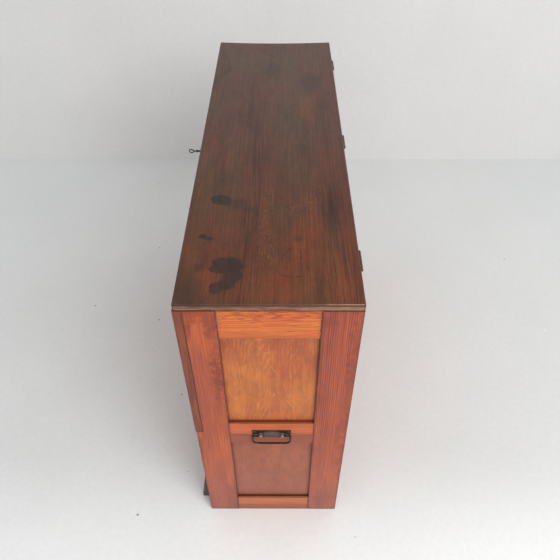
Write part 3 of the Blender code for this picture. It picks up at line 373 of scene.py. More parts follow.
def build_board_figure(name):
    """Growth rings, fibres and blotches of one sawn board, with soiling, painted shade and wear along its edges.
    """
    nodes, given, result = new_group(
        name,
        dict(Vector="Place, Facing, Half Size, Pith", Color="Early, Second, Late",
             Float="Rise, Waver, Seed, Ring Width, Drift, Late Amount, Blotch, Grime, Wear"),
        dict(Color="Colour", Float="Roughness, Height, Fibre"))
    seeded = nodes.vector("ADD", given["Place"], nodes.vector("MULTIPLY", given["Seed"], BOARD_STRIDE))
    noise = nodes.noises(seeded, BOARD_NOISE)

    # Rings round the pith, which drifts and rises along the board; rings that surface draw pointed arches.
    parts = nodes.parts(nodes.vector("SUBTRACT", given["Place"], given["Pith"]))
    across = nodes.plus(parts[1], nodes.swing(noise.slow, given["Drift"]))
    depth = nodes.plus(parts[2], nodes.times(parts[0], given["Rise"]))
    radius = nodes.vector("LENGTH", nodes.join(0.0, across, depth))
    wander = nodes.swing(noise.quick, nodes.times(given["Ring Width"], given["Waver"]))
    ring = nodes.math("DIVIDE", nodes.plus(radius, wander), given["Ring Width"])
    own = nodes.add("ShaderNodeTexWhiteNoise", {"W": nodes.plus(nodes.math("FLOOR", ring), given["Seed"])},
                    noise_dimensions="1D").outputs[0]
    line = nodes.times(nodes.band(nodes.math("FRACT", ring), (0.35, 0.86), (1.0, 0.9)),
                       nodes.grade(own, 0.15, 1.0),
                       nodes.grade(nodes.step(noise.bunch, 0.36, 0.62), 0.35, 1.0))
    late = nodes.times(line, given["Late Amount"], nodes.grade(noise.streak, 0.45, 1.4))

    early = nodes.mix(nodes.step(noise.drifted, 0.38, 0.64), given["Early"], given["Second"])
    colour = nodes.mix(late, early, given["Late"])
    patch = nodes.times(nodes.step(noise.blotch, 0.47, 0.78), given["Blotch"])
    colour = nodes.mix(patch, colour, nodes.multiplied(given["Late"], (0.8, 0.72, 0.7)))
    pale = nodes.times(nodes.step(noise.blotch, 0.46, 0.26), given["Blotch"], 0.4)
    colour = nodes.mix(pale, colour, (1.0, 0.62, 0.34), "SOFT_LIGHT")
    colour = nodes.toned(colour, nodes.grade(noise.fibre, 0.6, 1.4), nodes.grade(noise.streak, 0.76, 1.24),
                         nodes.grade(noise.thread, 0.5, 1.5))
    colour = dusted(nodes, colour)

    # The ends of the fibres drink more stain.
    end_grain = nodes.step(nodes.math("ABSOLUTE", nodes.parts(given["Facing"])[0]), 0.6, 0.9)
    soaked = nodes.multiplied(given["Late"], (0.5, 0.45, 0.42))
    colour = nodes.mix(nodes.times(end_grain, 0.55), colour, soaked)

    edges = edge_soiling_and_shade(nodes, given, seeded)
    # Soiling along the edges, and painted shade where they border a recess
    colour = nodes.mix(nodes.times(edges["Grime"], given["Grime"]), colour, stains().grime)
    colour = nodes.mix(nodes.times(edges["Wear"], given["Wear"]), colour, stains().wear)
    rough = nodes.plus(nodes.grade(noise.fibre, 0.40, 0.56), nodes.times(noise.blotch, 0.12))
    nodes.feed(result, {
        "Colour": colour,
        "Roughness": nodes.minus(rough, nodes.times(late, 0.07)),
        "Height": nodes.plus(nodes.times(late, 0.6), nodes.times(noise.fibre, 0.5)),
        "Fibre": noise.fibre,
    })


def build_veneer_figure(name):
    """Rotary-cut face of a plywood panel: long contour lines, arches and soft smudges."""
    nodes, given, result = new_group(
        name,
        dict(Vector="Place, Half Size", Color="Ground, Figure", Float="Seed, Figure Amount, Smudge, Grime"),
        dict(Color="Colour", Float="Roughness, Height"))
    seeded = nodes.vector("ADD", given["Place"], nodes.vector("MULTIPLY", given["Seed"], VENEER_STRIDE))
    noise = nodes.noises(seeded, VENEER_NOISE)
    parts = nodes.parts(given["Place"])
    half_height = nodes.parts(given["Half Size"])[0]

    # Contour lines of a hill: steep and straight at the sides, arched along the middle.
    aside = nodes.math("ABSOLUTE", nodes.plus(parts[1], nodes.swing(noise.lean, 60 * MM)))
    field = nodes.plus(nodes.times(nodes.math("POWER", aside, 1.4), 230.0), nodes.times(parts[0], 18.0),
                       nodes.swing(noise.bend, 2.6), nodes.swing(noise.jag, 0.35))
    line = nodes.times(nodes.band(nodes.math("FRACT", field), (0.55, 0.9), (1.0, 0.93)),
                       nodes.grade(nodes.step(noise.patchy, 0.4, 0.6), 0.1, 1.0))
    line = nodes.math("MAXIMUM", line, nodes.times(nodes.step(noise.silk, 0.5, 0.68), 0.6))

    sunny = nodes.times(nodes.step(noise.sunny, 0.4, 0.62), 0.3)
    ground = nodes.mix(sunny, given["Ground"], given["Figure"])
    for edges, filter_colour in (((0.46, 0.64), (0.74, 0.72, 1.0)), ((0.5, 0.34), (1.14, 1.06, 0.8))):
        mottled = nodes.times(nodes.step(noise.mottle, *edges), 0.6)
        ground = nodes.tinted(mottled, ground, filter_colour)
    colour = nodes.mix(nodes.times(line, given["Figure Amount"]), ground, given["Figure"])
    # Grey smudges lie about by noise, with more under the upper edge as painted shade under the rail above.
    upper = nodes.step(nodes.math("DIVIDE", parts[0], half_height), 0.2, 1.0)
    dull = nodes.times(nodes.step(nodes.plus(noise.smudge, nodes.times(upper, 0.16)), 0.5, 0.8),
                       nodes.grade(noise.streak, 0.3, 1.5), given["Smudge"])
    colour = nodes.mix(dull, colour, nodes.multiplied(given["Ground"], (0.6, 0.6, 1.0)))
    colour = nodes.toned(colour, nodes.grade(noise.fibre, 0.68, 1.32), nodes.grade(noise.streak, 0.86, 1.14))
    colour = dusted(nodes, colour)
    # Painted shade darkens the panel's foot, where it meets the rail's ledge; the edges darken with soiling and
    # painted shade.
    foot_shade = nodes.times(nodes.step(nodes.plus(parts[0], half_height), 9 * MM, 0.0), 0.7)
    grime = edge_soiling_and_shade(nodes, given, seeded)["Grime"]
    soil_and_shade = nodes.times(nodes.math("MAXIMUM", grime, foot_shade), given["Grime"])
    nodes.feed(result, {
        "Colour": nodes.mix(soil_and_shade, colour, stains().grime),
        "Roughness": nodes.grade(noise.smudge, 0.40, 0.58),
        "Height": nodes.plus(nodes.times(noise.fibre, 0.5), line),
    })


def board_space(nodes, low, high, grain, facing):
    """Place and facing along the grain, across it and through the board, from the board's middle."""
    turn = Matrix((grain, facing.cross(grain), facing))
    angles = turn.to_euler()
    place = nodes.add("ShaderNodeMapping", {"Vector": nodes.coordinates(), "Rotation": angles,
                                            "Location": -(turn @ ((low + high) / 2))}, vector_type="POINT")
    normal = nodes.add("ShaderNodeMapping", {"Vector": nodes.coordinates("Normal"), "Rotation": angles},
                       vector_type="NORMAL")
    return place.outputs[0], normal.outputs[0], Vector(map(abs, turn @ (high - low) / 2))


# How a board was cut: where the pith lay across and through it, how it rises and how the rings waver
CUTS = {
    "quarter": (0.42, 0.05, 0.0, 0.35),
    "rift": (0.16, 0.09, 0.0, 0.6),
    "flat": (0.02, -0.06, 0.02, 0.8),
    "heart": (0.030, -0.012, 0.09, 1.3),
}
# Each finish: its colours for early wood, drift and late wood, then amounts of late wood, blotch, edge soiling
# and painted shade, wear
FINISHES = {
    "stile": ("stile", "stile_second", "stile_line", 0.5, 0.5, 0.85, 0.25),
    "rail": ("rail", "rail_second", "rail_line", 0.8, 0.25, 0.8, 0.25),
    "pine": ("pine", "pine", "pine_line", 0.5, 0.2, 0.4, 0.2),
    "foot": ("foot", "foot", "grime", 0.5, 0.3, 0.4, 0.5),
    "lid": ("lid", "lid_second", "lid_line", 0.24, 0.5, 0.6, 0.2),
}


def board_nodes(nodes, corners, grain, facing, finish, cut, ring, drift, seed, lines=1.0):
    """Place on one board and its figure; ring width and drift are in millimetres."""
    place, normal, half = board_space(nodes, *corners, grain, facing)
    *colours, late_amount, blotch, grime, wear = FINISHES[finish]
    early, second, late = (getattr(stains(), colour) for colour in colours)
    pith_across, pith_depth, rise, waver = CUTS[cut]
    return place, nodes.group("Board figure", build_board_figure, {
        "Place": place, "Facing": normal, "Half Size": half, "Pith": (0.0, pith_across, pith_depth),
        "Rise": rise, "Waver": waver, "Seed": seed, "Ring Width": ring * MM, "Drift": drift * MM,
        "Early": early, "Second": second, "Late": late, "Late Amount": late_amount * lines,
        "Blotch": blotch, "Grime": grime, "Wear": wear,
    })


def shown_part(node, hidden, *ways):
    """Corners of the part of a piece that shows, without what its neighbours hide in these ways."""
    low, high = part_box(node)
    inset = sum((Vector(map(abs, way)) for way in ways), Vector()) * hidden
    return low + inset, high - inset


Board = namedtuple("Board", "nodes place fibre side world normal")
Spot = namedtuple("Spot", "x y along across")


def spots(*lobes):
    """Spots by their middles and half sizes in millimetres."""
    return [Spot(*lobe) for lobe in lobes]


def spots_rim(nodes, place, lobes):
    """How far out a place lies from the nearest spot: 0 in its middle, 1 on its rim."""
    def distance(spot):
        offset = nodes.vector("SUBTRACT", place, (spot.x * MM, spot.y * MM, 0))
        scaled = nodes.vector("MULTIPLY", offset, (1 / (spot.along * MM), 1 / (spot.across * MM), 0))
        return nodes.vector("LENGTH", scaled)

    def blended(first, second):
        return nodes.math("SMOOTH_MIN", first, second, 0.25)
    return reduce(blended, map(distance, lobes))


def spots_mask(nodes, place, lobes, softness):
    """1 inside any of the spots, 0 outside, soft at their rims."""
    return nodes.step(spots_rim(nodes, place, lobes), 1 + softness, 1 - softness)


def handled(board, colour, amount):
    """Hands have browned the lower half, below a wavy dark line."""
    nodes = board.nodes
    wavy = nodes.noise(board.place, (11, 70, 1), 4, distortion=0.4)
    height = nodes.plus(nodes.parts(board.place)[1], nodes.swing(wavy, 20 * MM))
    lower = nodes.times(nodes.grade(nodes.step(height, 8 * MM, -12 * MM), 0.24, 1.0), amount)
    fibres = nodes.mix(board.fibre, (0.7, 0.7, 0.7), (1.4, 1.4, 1.4))
    colour = nodes.mix(lower, colour, nodes.multiplied(stains().handled, fibres))
    brink = nodes.band(height, (-14 * MM, -11 * MM), (-7 * MM, -10 * MM))
    return nodes.mix(nodes.times(brink, 0.5 * amount), colour, stains().grime)


def flamed(board, colour, amount):
    """The rings lick along the upper half in dark pointed tongues."""
    nodes = board.nodes
    flame = nodes.noise(board.place, (34, 210, 1), 3, distortion=1.2)
    upper = nodes.times(nodes.step(nodes.parts(board.place)[1], 0.0, 20 * MM), amount)
    return nodes.mix(nodes.times(nodes.step(flame, 0.5, 0.56), upper), colour, stains().rail_line)


def ledge_shade(board, colour, amount):
    """Painted shade on the ledge in front of a panel, in its recess, all but its outer edge."""
    nodes = board.nodes
    looks_up = nodes.step(nodes.parts(board.normal)[2], 0.5, 0.9)
    inner = nodes.step(nodes.math("ABSOLUTE", board.world[0]), 617.5 * MM, 615.5 * MM)
    return nodes.mix(nodes.times(looks_up, inner, amount), colour, stains().grime)


def side_browned(board, colour, amount):
    """Dirt and hands have browned the narrow sides in streaks."""
    nodes = board.nodes
    turned_away = nodes.math("ABSOLUTE", nodes.vector("DOT_PRODUCT", board.normal, board.side))
    sideways = nodes.times(nodes.step(turned_away, 0.6, 0.9), amount)
    streak = nodes.noise(board.place, (9, 60, 160), 4, 0.6)
    dirty = nodes.mix(nodes.step(streak, 0.38, 0.62), (0.42, 0.36, 0.4), (0.9, 0.86, 0.56))
    return nodes.mix(sideways, colour, nodes.multiplied(stains().handled, dirty))


def notched(board, colour, corner):
    """A dark, broken joint line round the notch, faint towards the top and away from the outer face."""
    nodes = board.nodes
    behind = nodes.minus(board.world[1], corner.y)
    below = nodes.minus(corner.z, board.world[2])
    seam = nodes.step(nodes.math("MAXIMUM", behind, below), 2.2 * MM, 0.9 * MM)
    outside = nodes.step(nodes.math("ABSOLUTE", nodes.parts(board.normal)[0]), 0.5, 0.9)
    low_down = nodes.step(board.world[2], 0.85, 0.76)
    dashed = nodes.noise(board.place, (150, 1, 1))
    shown = nodes.times(nodes.grade(low_down, 0.25, 1.0), nodes.grade(outside, 0.3, 1.0))
    return nodes.mix(nodes.times(seam, shown, nodes.grade(dashed, 0.4, 1.3)), colour, stains().grime)


# Where hands and knocks have darkened the ends' stiles: across the end, then up it
END_SMEARS = spots(
    (-172, 846, 12, 34), (-150, 892, 70, 22), (-118, 868, 14, 44), (-117, 690, 9, 90), (184, 780, 13, 220),
    (120, 880, 16, 24), (186, 400, 9, 240),
)


def smeared(board, colour, amount):
    """Smears on the stiles of the ends, purplish, and brown near the top."""
    nodes = board.nodes
    shift = nodes.shift(board.place, 60, 5, (0.05, 0.09, 0))
    place = nodes.vector("ADD", nodes.join(board.world[1], board.world[2], 0.0), shift)
    mask = nodes.times(spots_mask(nodes, place, END_SMEARS, 0.7), amount)
    dirty = nodes.mix(nodes.step(board.world[2], 0.84, 0.88), (0.52, 0.4, 0.5), (0.62, 0.5, 0.34))
    return nodes.tinted(mask, colour, dirty)


MARKS = {"handled": handled, "flamed": flamed, "ledge_shade": ledge_shade, "side_browned": side_browned,
         "notched": notched, "smeared": smeared}


def stain_board(node, grain, facing, finish, cut, ring, drift, seed, hidden=0.0, lines=1.0, **marks):
    """Stains one board in its place, with the marks that use has left on it."""
    material, nodes, shader = new_material(f"{finish} wood, {node}")
    place, figure = board_nodes(nodes, shown_part(node, hidden, grain), grain, facing, finish, cut, ring,
                                drift, seed, lines)
    board = Board(nodes, place, figure["Fibre"], facing.cross(grain), nodes.parts(nodes.coordinates()),
                  nodes.coordinates("Normal"))
    colour = figure["Colour"]
    for mark, strength in marks.items():
        colour = MARKS[mark](board, colour, strength)
    finish_surface(nodes, shader, colour, figure["Roughness"], figure["Height"], 0.25 * MM)
    dress(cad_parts[node], material)


def stain_frame(prefix, facing, seed, boards):
    """Stains the boards of a frame: name, grain, finish, cut, ring width, drift and further settings."""
    for number, (name, grain, finish, cut, ring, drift, settings) in enumerate(boards):
        stain_board(f"{prefix}_{name}", grain, facing, finish, cut, ring, drift, seed + number, **settings)


PANEL_LAP = 8 * MM
# How strongly edge soiling and painted shade darken a panel's edges and foot
PANEL_SOILING_AND_SHADE = 0.75


def stain_panel(node, facing, ground, figure_amount, smudge, seed):
    """Stains one plywood panel in its place, its grain upright."""
    material, nodes, shader = new_material(f"plywood, {node}")
    corners = shown_part(node, PANEL_LAP, Z, facing.cross(Z))
    place, _, half = board_space(nodes, *corners, Z, facing)
    look = nodes.group("Veneer figure", build_veneer_figure, {
        "Place": place, "Half Size": half, "Seed": seed, "Ground": getattr(stains(), ground),
        "Figure": getattr(stains(), f"{ground}_line"), "Figure Amount": figure_amount, "Smudge": smudge,
        "Grime": PANEL_SOILING_AND_SHADE,
    })
    finish_surface(nodes, shader, look["Colour"], look["Roughness"], look["Height"], 0.12 * MM)
    dress(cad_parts[node], material)


# Metal

METAL_NOISE = {
    "cloud": ((90, 90, 90), 4, 0.6),
    "pits": ((900, 900, 900), 3, 0.6),
    "rub": ((260, 260, 260), 3),
}
# Where the handles' iron is greyer, and where it is rubbed bright and painted with highlights on lugs, screw
# heads and the bail: across the end, then up it
PAD_SPOTS = spots((0, 446, 22, 17))
RUBBED_AND_HIGHLIGHT_SPOTS = spots(
    (-27, 446, 4.2, 5.5), (27, 446, 4.2, 5.5), (-43, 454, 3.5, 3.5), (43, 454, 3.5, 3.5), (0, 448, 4, 3.5),
    (-37, 409.5, 3.5, 1.8), (-40, 441, 4, 2), (40, 441, 4, 2),
)
# Each metal: its colour, how rusty and how worn it is, and its patches in other colours
METALS = {
    "dark iron": ("iron", 0.25, 0.35, {}),
    "handle iron": ("iron_handle", 0.25, 0.3, {"iron_pad": PAD_SPOTS, "iron_rubbed_and_highlight": RUBBED_AND_HIGHLIGHT_SPOTS}),
    "dull steel": ("steel", 0.5, 0.5, {}),
}
METALLIC = 0.85


def build_aged_metal(name):
    """Dull metal with pits, rust in the pits and a worn sheen where hands rub it."""
    nodes, given, result = new_group(name, dict(Color="Base, Worn, Rust", Float="Rust Amount, Wear Amount"),
                                     dict(Color="Colour", Float="Roughness, Height"))
    noise = nodes.noises(nodes.coordinates(), METAL_NOISE)
    sheen = nodes.times(nodes.step(noise.rub, 0.5, 0.72), given["Wear Amount"])
    pitted = nodes.plus(noise.cloud, nodes.swing(noise.pits, 0.2))
    rusty = nodes.times(nodes.step(pitted, 0.5, 0.68), given["Rust Amount"])
    nodes.feed(result, {
        "Colour": nodes.mix(rusty, nodes.mix(sheen, given["Base"], given["Worn"]), given["Rust"]),
        "Roughness": nodes.plus(nodes.grade(noise.pits, 0.30, 0.5), nodes.times(rusty, 0.3)),
        "Height": nodes.plus(noise.pits, nodes.times(noise.cloud, 0.8)),
    })


def metal(name):
    """A named metal, made the first time that it is asked for."""
    if name in bpy.data.materials:
        return bpy.data.materials[name]
    base, rust_amount, wear_amount, patches = METALS[name]
    material, nodes, shader = new_material(name)
    look = nodes.group("Aged metal", build_aged_metal, {
        "Base": getattr(hardware(), base), "Worn": hardware().iron_worn, "Rust": hardware().rust,
        "Rust Amount": rust_amount, "Wear Amount": wear_amount,
    })
    colour = look["Colour"]
    world = nodes.parts(nodes.coordinates())
    on_end = nodes.join(world[1], world[2], 0.0)
    for patch, lobes in patches.items():
        colour = nodes.mix(spots_mask(nodes, on_end, lobes, 0.3), colour, getattr(hardware(), patch))
    finish_surface(nodes, shader, colour, look["Roughness"], look["Height"], 0.12 * MM)
    shader.inputs["Metallic"].default_value = METALLIC
    return material


# Meshes

def put_in_scene(name, data):
    obj = bpy.data.objects.new(name, data)
    bpy.context.scene.collection.objects.link(obj)
    return obj


def new_piece(name, mesh, body, material, slot, *nodes):
    """Adds a finished mesh as a piece that moves with a body and stands for model nodes."""
    obj = put_in_scene(name, mesh)
    dress(obj, material)
    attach(obj, body)
    if nodes:
        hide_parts(*nodes)


def applied(obj):
    """The object's mesh with its modifiers applied; the object itself is removed."""
    depsgraph = bpy.context.evaluated_depsgraph_get()
    mesh = bpy.data.meshes.new_from_object(obj.evaluated_get(depsgraph))
    mesh.name = obj.name
    bpy.data.objects.remove(obj)
    return mesh


def mesh_of(shape, name):
    mesh = bpy.data.meshes.new(name)
    shape.to_mesh(mesh)
    shape.free()
    return mesh


def smooth_by_angle(mesh, degrees):
    mesh.polygons.foreach_set("use_smooth", [True] * len(mesh.polygons))
    mesh.set_sharp_from_angle(angle=math.radians(degrees))


def whole_copy(node):
    """A bmesh of a model node with its loose triangles joined into whole faces."""
    shape = bmesh.new()
    shape.from_mesh(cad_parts[node].data)
    bmesh.ops.remove_doubles(shape, verts=shape.verts, dist=1e-6)
    bmesh.ops.dissolve_limit(shape, angle_limit=math.radians(0.5), verts=shape.verts, edges=shape.edges)
    return shape


def eased(name, mesh, width):
    """The mesh with its sharp edges rounded by a bevel."""
    obj = put_in_scene(name, mesh)
    bevel = obj.modifiers.new("ease", "BEVEL")
    bevel.width = width
    bevel.segments = 2
    bevel.limit_method = "ANGLE"
    bevel.angle_limit = math.radians(40)
    bevel.use_clamp_overlap = True
    mesh = applied(obj)
    smooth_by_angle(mesh, 32)
    return mesh


def refine(pieces, metal_name, slot, width, reshape=None):
    """Stands eased, smooth copies in for model nodes, given with their bodies, reshaped first if asked."""
    for node, body in pieces.items():
        shape = whole_copy(node)
        if reshape:
            reshape(shape, *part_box(node))
        label = f"{node}_finished"
        new_piece(label, eased(label, mesh_of(shape, node), width), body, metal(metal_name), slot, node)


WIRE_SIDES = 20
DOME_STEPS = 3


def bent_wire(path, normal, radius):
    """A bmesh of a round wire along a path that is flat across the normal, with domed ends."""
    last = len(path) - 1
    tangents = [(path[min(index + 1, last)] - path[max(index - 1, 0)]).normalized()
                for index in range(len(path))]
    start, end = tangents[0], tangents[-1]
    hoops = [(point, tangent, radius) for point, tangent in zip(path, tangents)]
    for step in range(1, DOME_STEPS):
        turn = math.pi / 2 * step / DOME_STEPS
        out, narrowed = (radius * math.sin(turn), radius * math.cos(turn))
        hoops.insert(0, (path[0] - start * out, start, narrowed))
        hoops.append((path[-1] + end * out, end, narrowed))

    shape = bmesh.new()
    turns = [2 * math.pi * index / WIRE_SIDES for index in range(WIRE_SIDES)]
    rings = []
    for centre, tangent, size in hoops:
        side = tangent.cross(normal)
        rings.append([shape.verts.new(centre + (normal * math.cos(turn) + side * math.sin(turn)) * size)
                      for turn in turns])
    following = [(index, (index + 1) % WIRE_SIDES) for index in range(WIRE_SIDES)]
    for first, second in zip(rings, rings[1:]):
        for here, there in following:
            shape.faces.new((first[here], first[there], second[there], second[here]))
    for ring, pole in ((rings[0], path[0] - start * radius), (rings[-1], path[-1] + end * radius)):
        tip = shape.verts.new(pole)
        for here, there in following:
            shape.faces.new((ring[here], ring[there], tip))
    bmesh.ops.recalc_face_normals(shape, faces=shape.faces)
    return shape


def filleted(corners, radii, steps=8):
    """The path through the corners with each inner corner rounded to its radius."""
    path = [corners[0]]
    for before, corner, after, radius in zip(corners, corners[1:], corners[2:], radii):
        back = (before - corner).normalized()
        ahead = (after - corner).normalized()
        half = back.angle(ahead) / 2
        centre = corner + (back + ahead).normalized() * (radius / math.sin(half))
        first = (corner + back * (radius / math.tan(half)) - centre).normalized()
        last = (corner + ahead * (radius / math.tan(half)) - centre).normalized()
        path += [centre + first.slerp(last, step / steps) * radius for step in range(steps + 1)]
    return path + [corners[-1]]


# Operators

class CHEST_OT_stain_ends(bpy.types.Operator):
    """Stains the framed ends: stiles red, rails orange, panels brown"""
    bl_idname = "plan_chest.stain_ends"
    bl_label = "Stain the ends"

    TENON = 35 * MM

    def execute(self, context):
        flap_low, flap_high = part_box("flap_right_stile")
        notch = Vector((0, flap_high.y, flap_low.z))
        for end, outward, seed in (("right_end", X, 1.0), ("left_end", -X, 11.0)):
            level = Z.cross(outward)
            stain_frame(end, outward, seed, (
                ("front_stile", Z, "stile", "rift", 6.4, 14, dict(smeared=0.85, notched=notch)),
                ("back_stile", Z, "stile", "quarter", 4.8, 4, dict(lines=2.4, smeared=0.6)),
                ("top_rail", level, "rail", "heart", 5, 8, dict(hidden=self.TENON, flamed=0.6)),
                ("middle_rail", level, "rail", "rift", 7, 12, dict(hidden=self.TENON, handled=0.8, ledge_shade=0.8)),
                ("bottom_rail", level, "rail", "rift", 5, 8, dict(hidden=self.TENON, handled=0.5, ledge_shade=0.9)),
            ))
            stain_panel(f"{end}_upper_panel", outward, "panel", 0.5, 0.55, seed + 5)
            stain_panel(f"{end}_lower_panel", outward, "lower_panel", 0.2, 0.45, seed + 6)
        return {"FINISHED"}


class CHEST_OT_stain_back(bpy.types.Operator):
    """Stains the framed back, the lower front and the bottom board"""
    bl_idname = "plan_chest.stain_back"
    bl_label = "Stain the back and lower front"

    def execute(self, context):
        lap = dict(hidden=PANEL_LAP)
        for side, outward, seed, ground in (("back", Y, 21.0, "panel"),
                                            ("lower_front", -Y, 31.0, "lower_panel")):
            stain_frame(side, outward, seed, (
                ("bottom_rail", X, "stile", "rift", 5.4, 16, lap),
                ("top_rail", X, "stile", "flat", 6.2, 18, lap),
                ("muntin", Z, "stile", "quarter", 5, 5, lap),
            ))
            stain_panel(f"{side}_left_panel", outward, ground, 0.5, 0.5, seed + 3)
            stain_panel(f"{side}_right_panel", outward, ground, 0.5, 0.5, seed + 4)
        stain_board("bottom_board", X, Z, "pine", "flat", 6, 14, 41.0)
        return {"FINISHED"}


class CHEST_OT_stain_flap(bpy.types.Operator):
    """Stains the drop flap"""
    bl_idname = "plan_chest.stain_flap"
    bl_label = "Stain the flap"

    TENON = 34 * MM

    def execute(self, context):
        stain_frame("flap", -Y, 51.0, (
            ("right_stile", Z, "stile", "rift", 5, 10, dict(side_browned=0.8)),
            ("left_stile", Z, "stile", "rift", 5, 10, dict(side_browned=0.8)),
            ("bottom_rail", X, "rail", "rift", 5.6, 14, dict(hidden=self.TENON)),
            ("top_rail", X, "rail", "flat", 6, 16, dict(hidden=self.TENON)),
            ("muntin", Z, "rail", "quarter", 4.8, 6, dict(hidden=PANEL_LAP)),
        ))
        stain_panel("flap_right_panel", -Y, "panel", 0.6, 0.45, 57.0)
        stain_panel("flap_left_panel", -Y, "panel", 0.6, 0.45, 58.0)
        return {"FINISHED"}


class CHEST_OT_stain_feet(bpy.types.Operator):
    """Stains the two front feet black"""
    bl_idname = "plan_chest.stain_feet"
    bl_label = "Stain the feet"

    def execute(self, context):
        stain_board("right_front_foot", Z, X, "foot", "rift", 4, 5, 61.0)
        stain_board("left_front_foot", Z, X, "foot", "rift", 4, 5, 62.0)
        return {"FINISHED"}


# Marks on the lid, from its middle: along it, then across it
INK_SPOTS = spots(
    (502, -98, 15, 20), (518, -102, 13, 20), (508, -80, 22, 24), (520, -118, 9, 9), (538, -76, 22, 19),
    (558, -82, 17, 15), (568, -94, 14, 17), (577, -104, 14, 13), (569, -110, 9, 9), (283, -123, 17, 15),
    (289, -111, 17, 17), (418, -146, 7, 8), (425, -131, 6, 8), (422, -138, 4, 8),
)
FAINT_SPOTS = spots(
    (515, -145, 12, 10), (302, -78, 22, 24), (319, -53, 12, 14), (350, 140, 60, 12), (425, 60, 12, 9),
    (-170, -64, 150, 8), (-405, -8, 56, 32), (-320, 110, 60, 34), (596, -160, 60, 26),
)
WARM_SPOTS = spots(
    (570, 30, 70, 60), (440, 80, 90, 40), (570, 140, 90, 30), (545, -125, 40, 20), (-150, 96, 70, 26),
)
BLOOM_SPOTS = spots(
    (455, -6, 52, 20), (492, 8, 20, 20), (390, -14, 80, 13), (290, -4, 50, 12), (296, 90, 30, 24),
    (320, 50, 26, 20),
)
DAMP_SPOTS = spots((482, 50, 26, 16), (512, 62, 30, 16), (524, 40, 18, 26), (500, 34, 24, 14))
# Where the lid's dark grain lines bunch together
GRAIN_SPOTS = spots(
    (540, -54, 190, 15), (330, -34, 190, 9), (520, 138, 160, 20), (260, 150, 200, 22), (560, 172, 120, 10),
    (80, -40, 180, 12),
)
LID_NOISE = {
    "mottle": ((26, 44, 1), 5, 0.68, 0.3),
    "slow": ((2.2, 9, 1), 2),
    "grit": ((150, 260, 1), 4, 0.7),
    "scuff": ((90, 360, 1), 5, 0.75),
    "ragged": ((1, 60, 1), 3),
    "streak": ((1, 26, 300), 4, 0.6),
}
# Heights on the lid's end, from the middle of its thickness
CORE_FOOT = (-7.4 * MM, -6.6 * MM)
CORE_TOP = (5.6 * MM, 3.2 * MM)
UNDERSIDE = (-6.9 * MM, -7.7 * MM)
ARRIS = (7.4 * MM, 8.1 * MM)


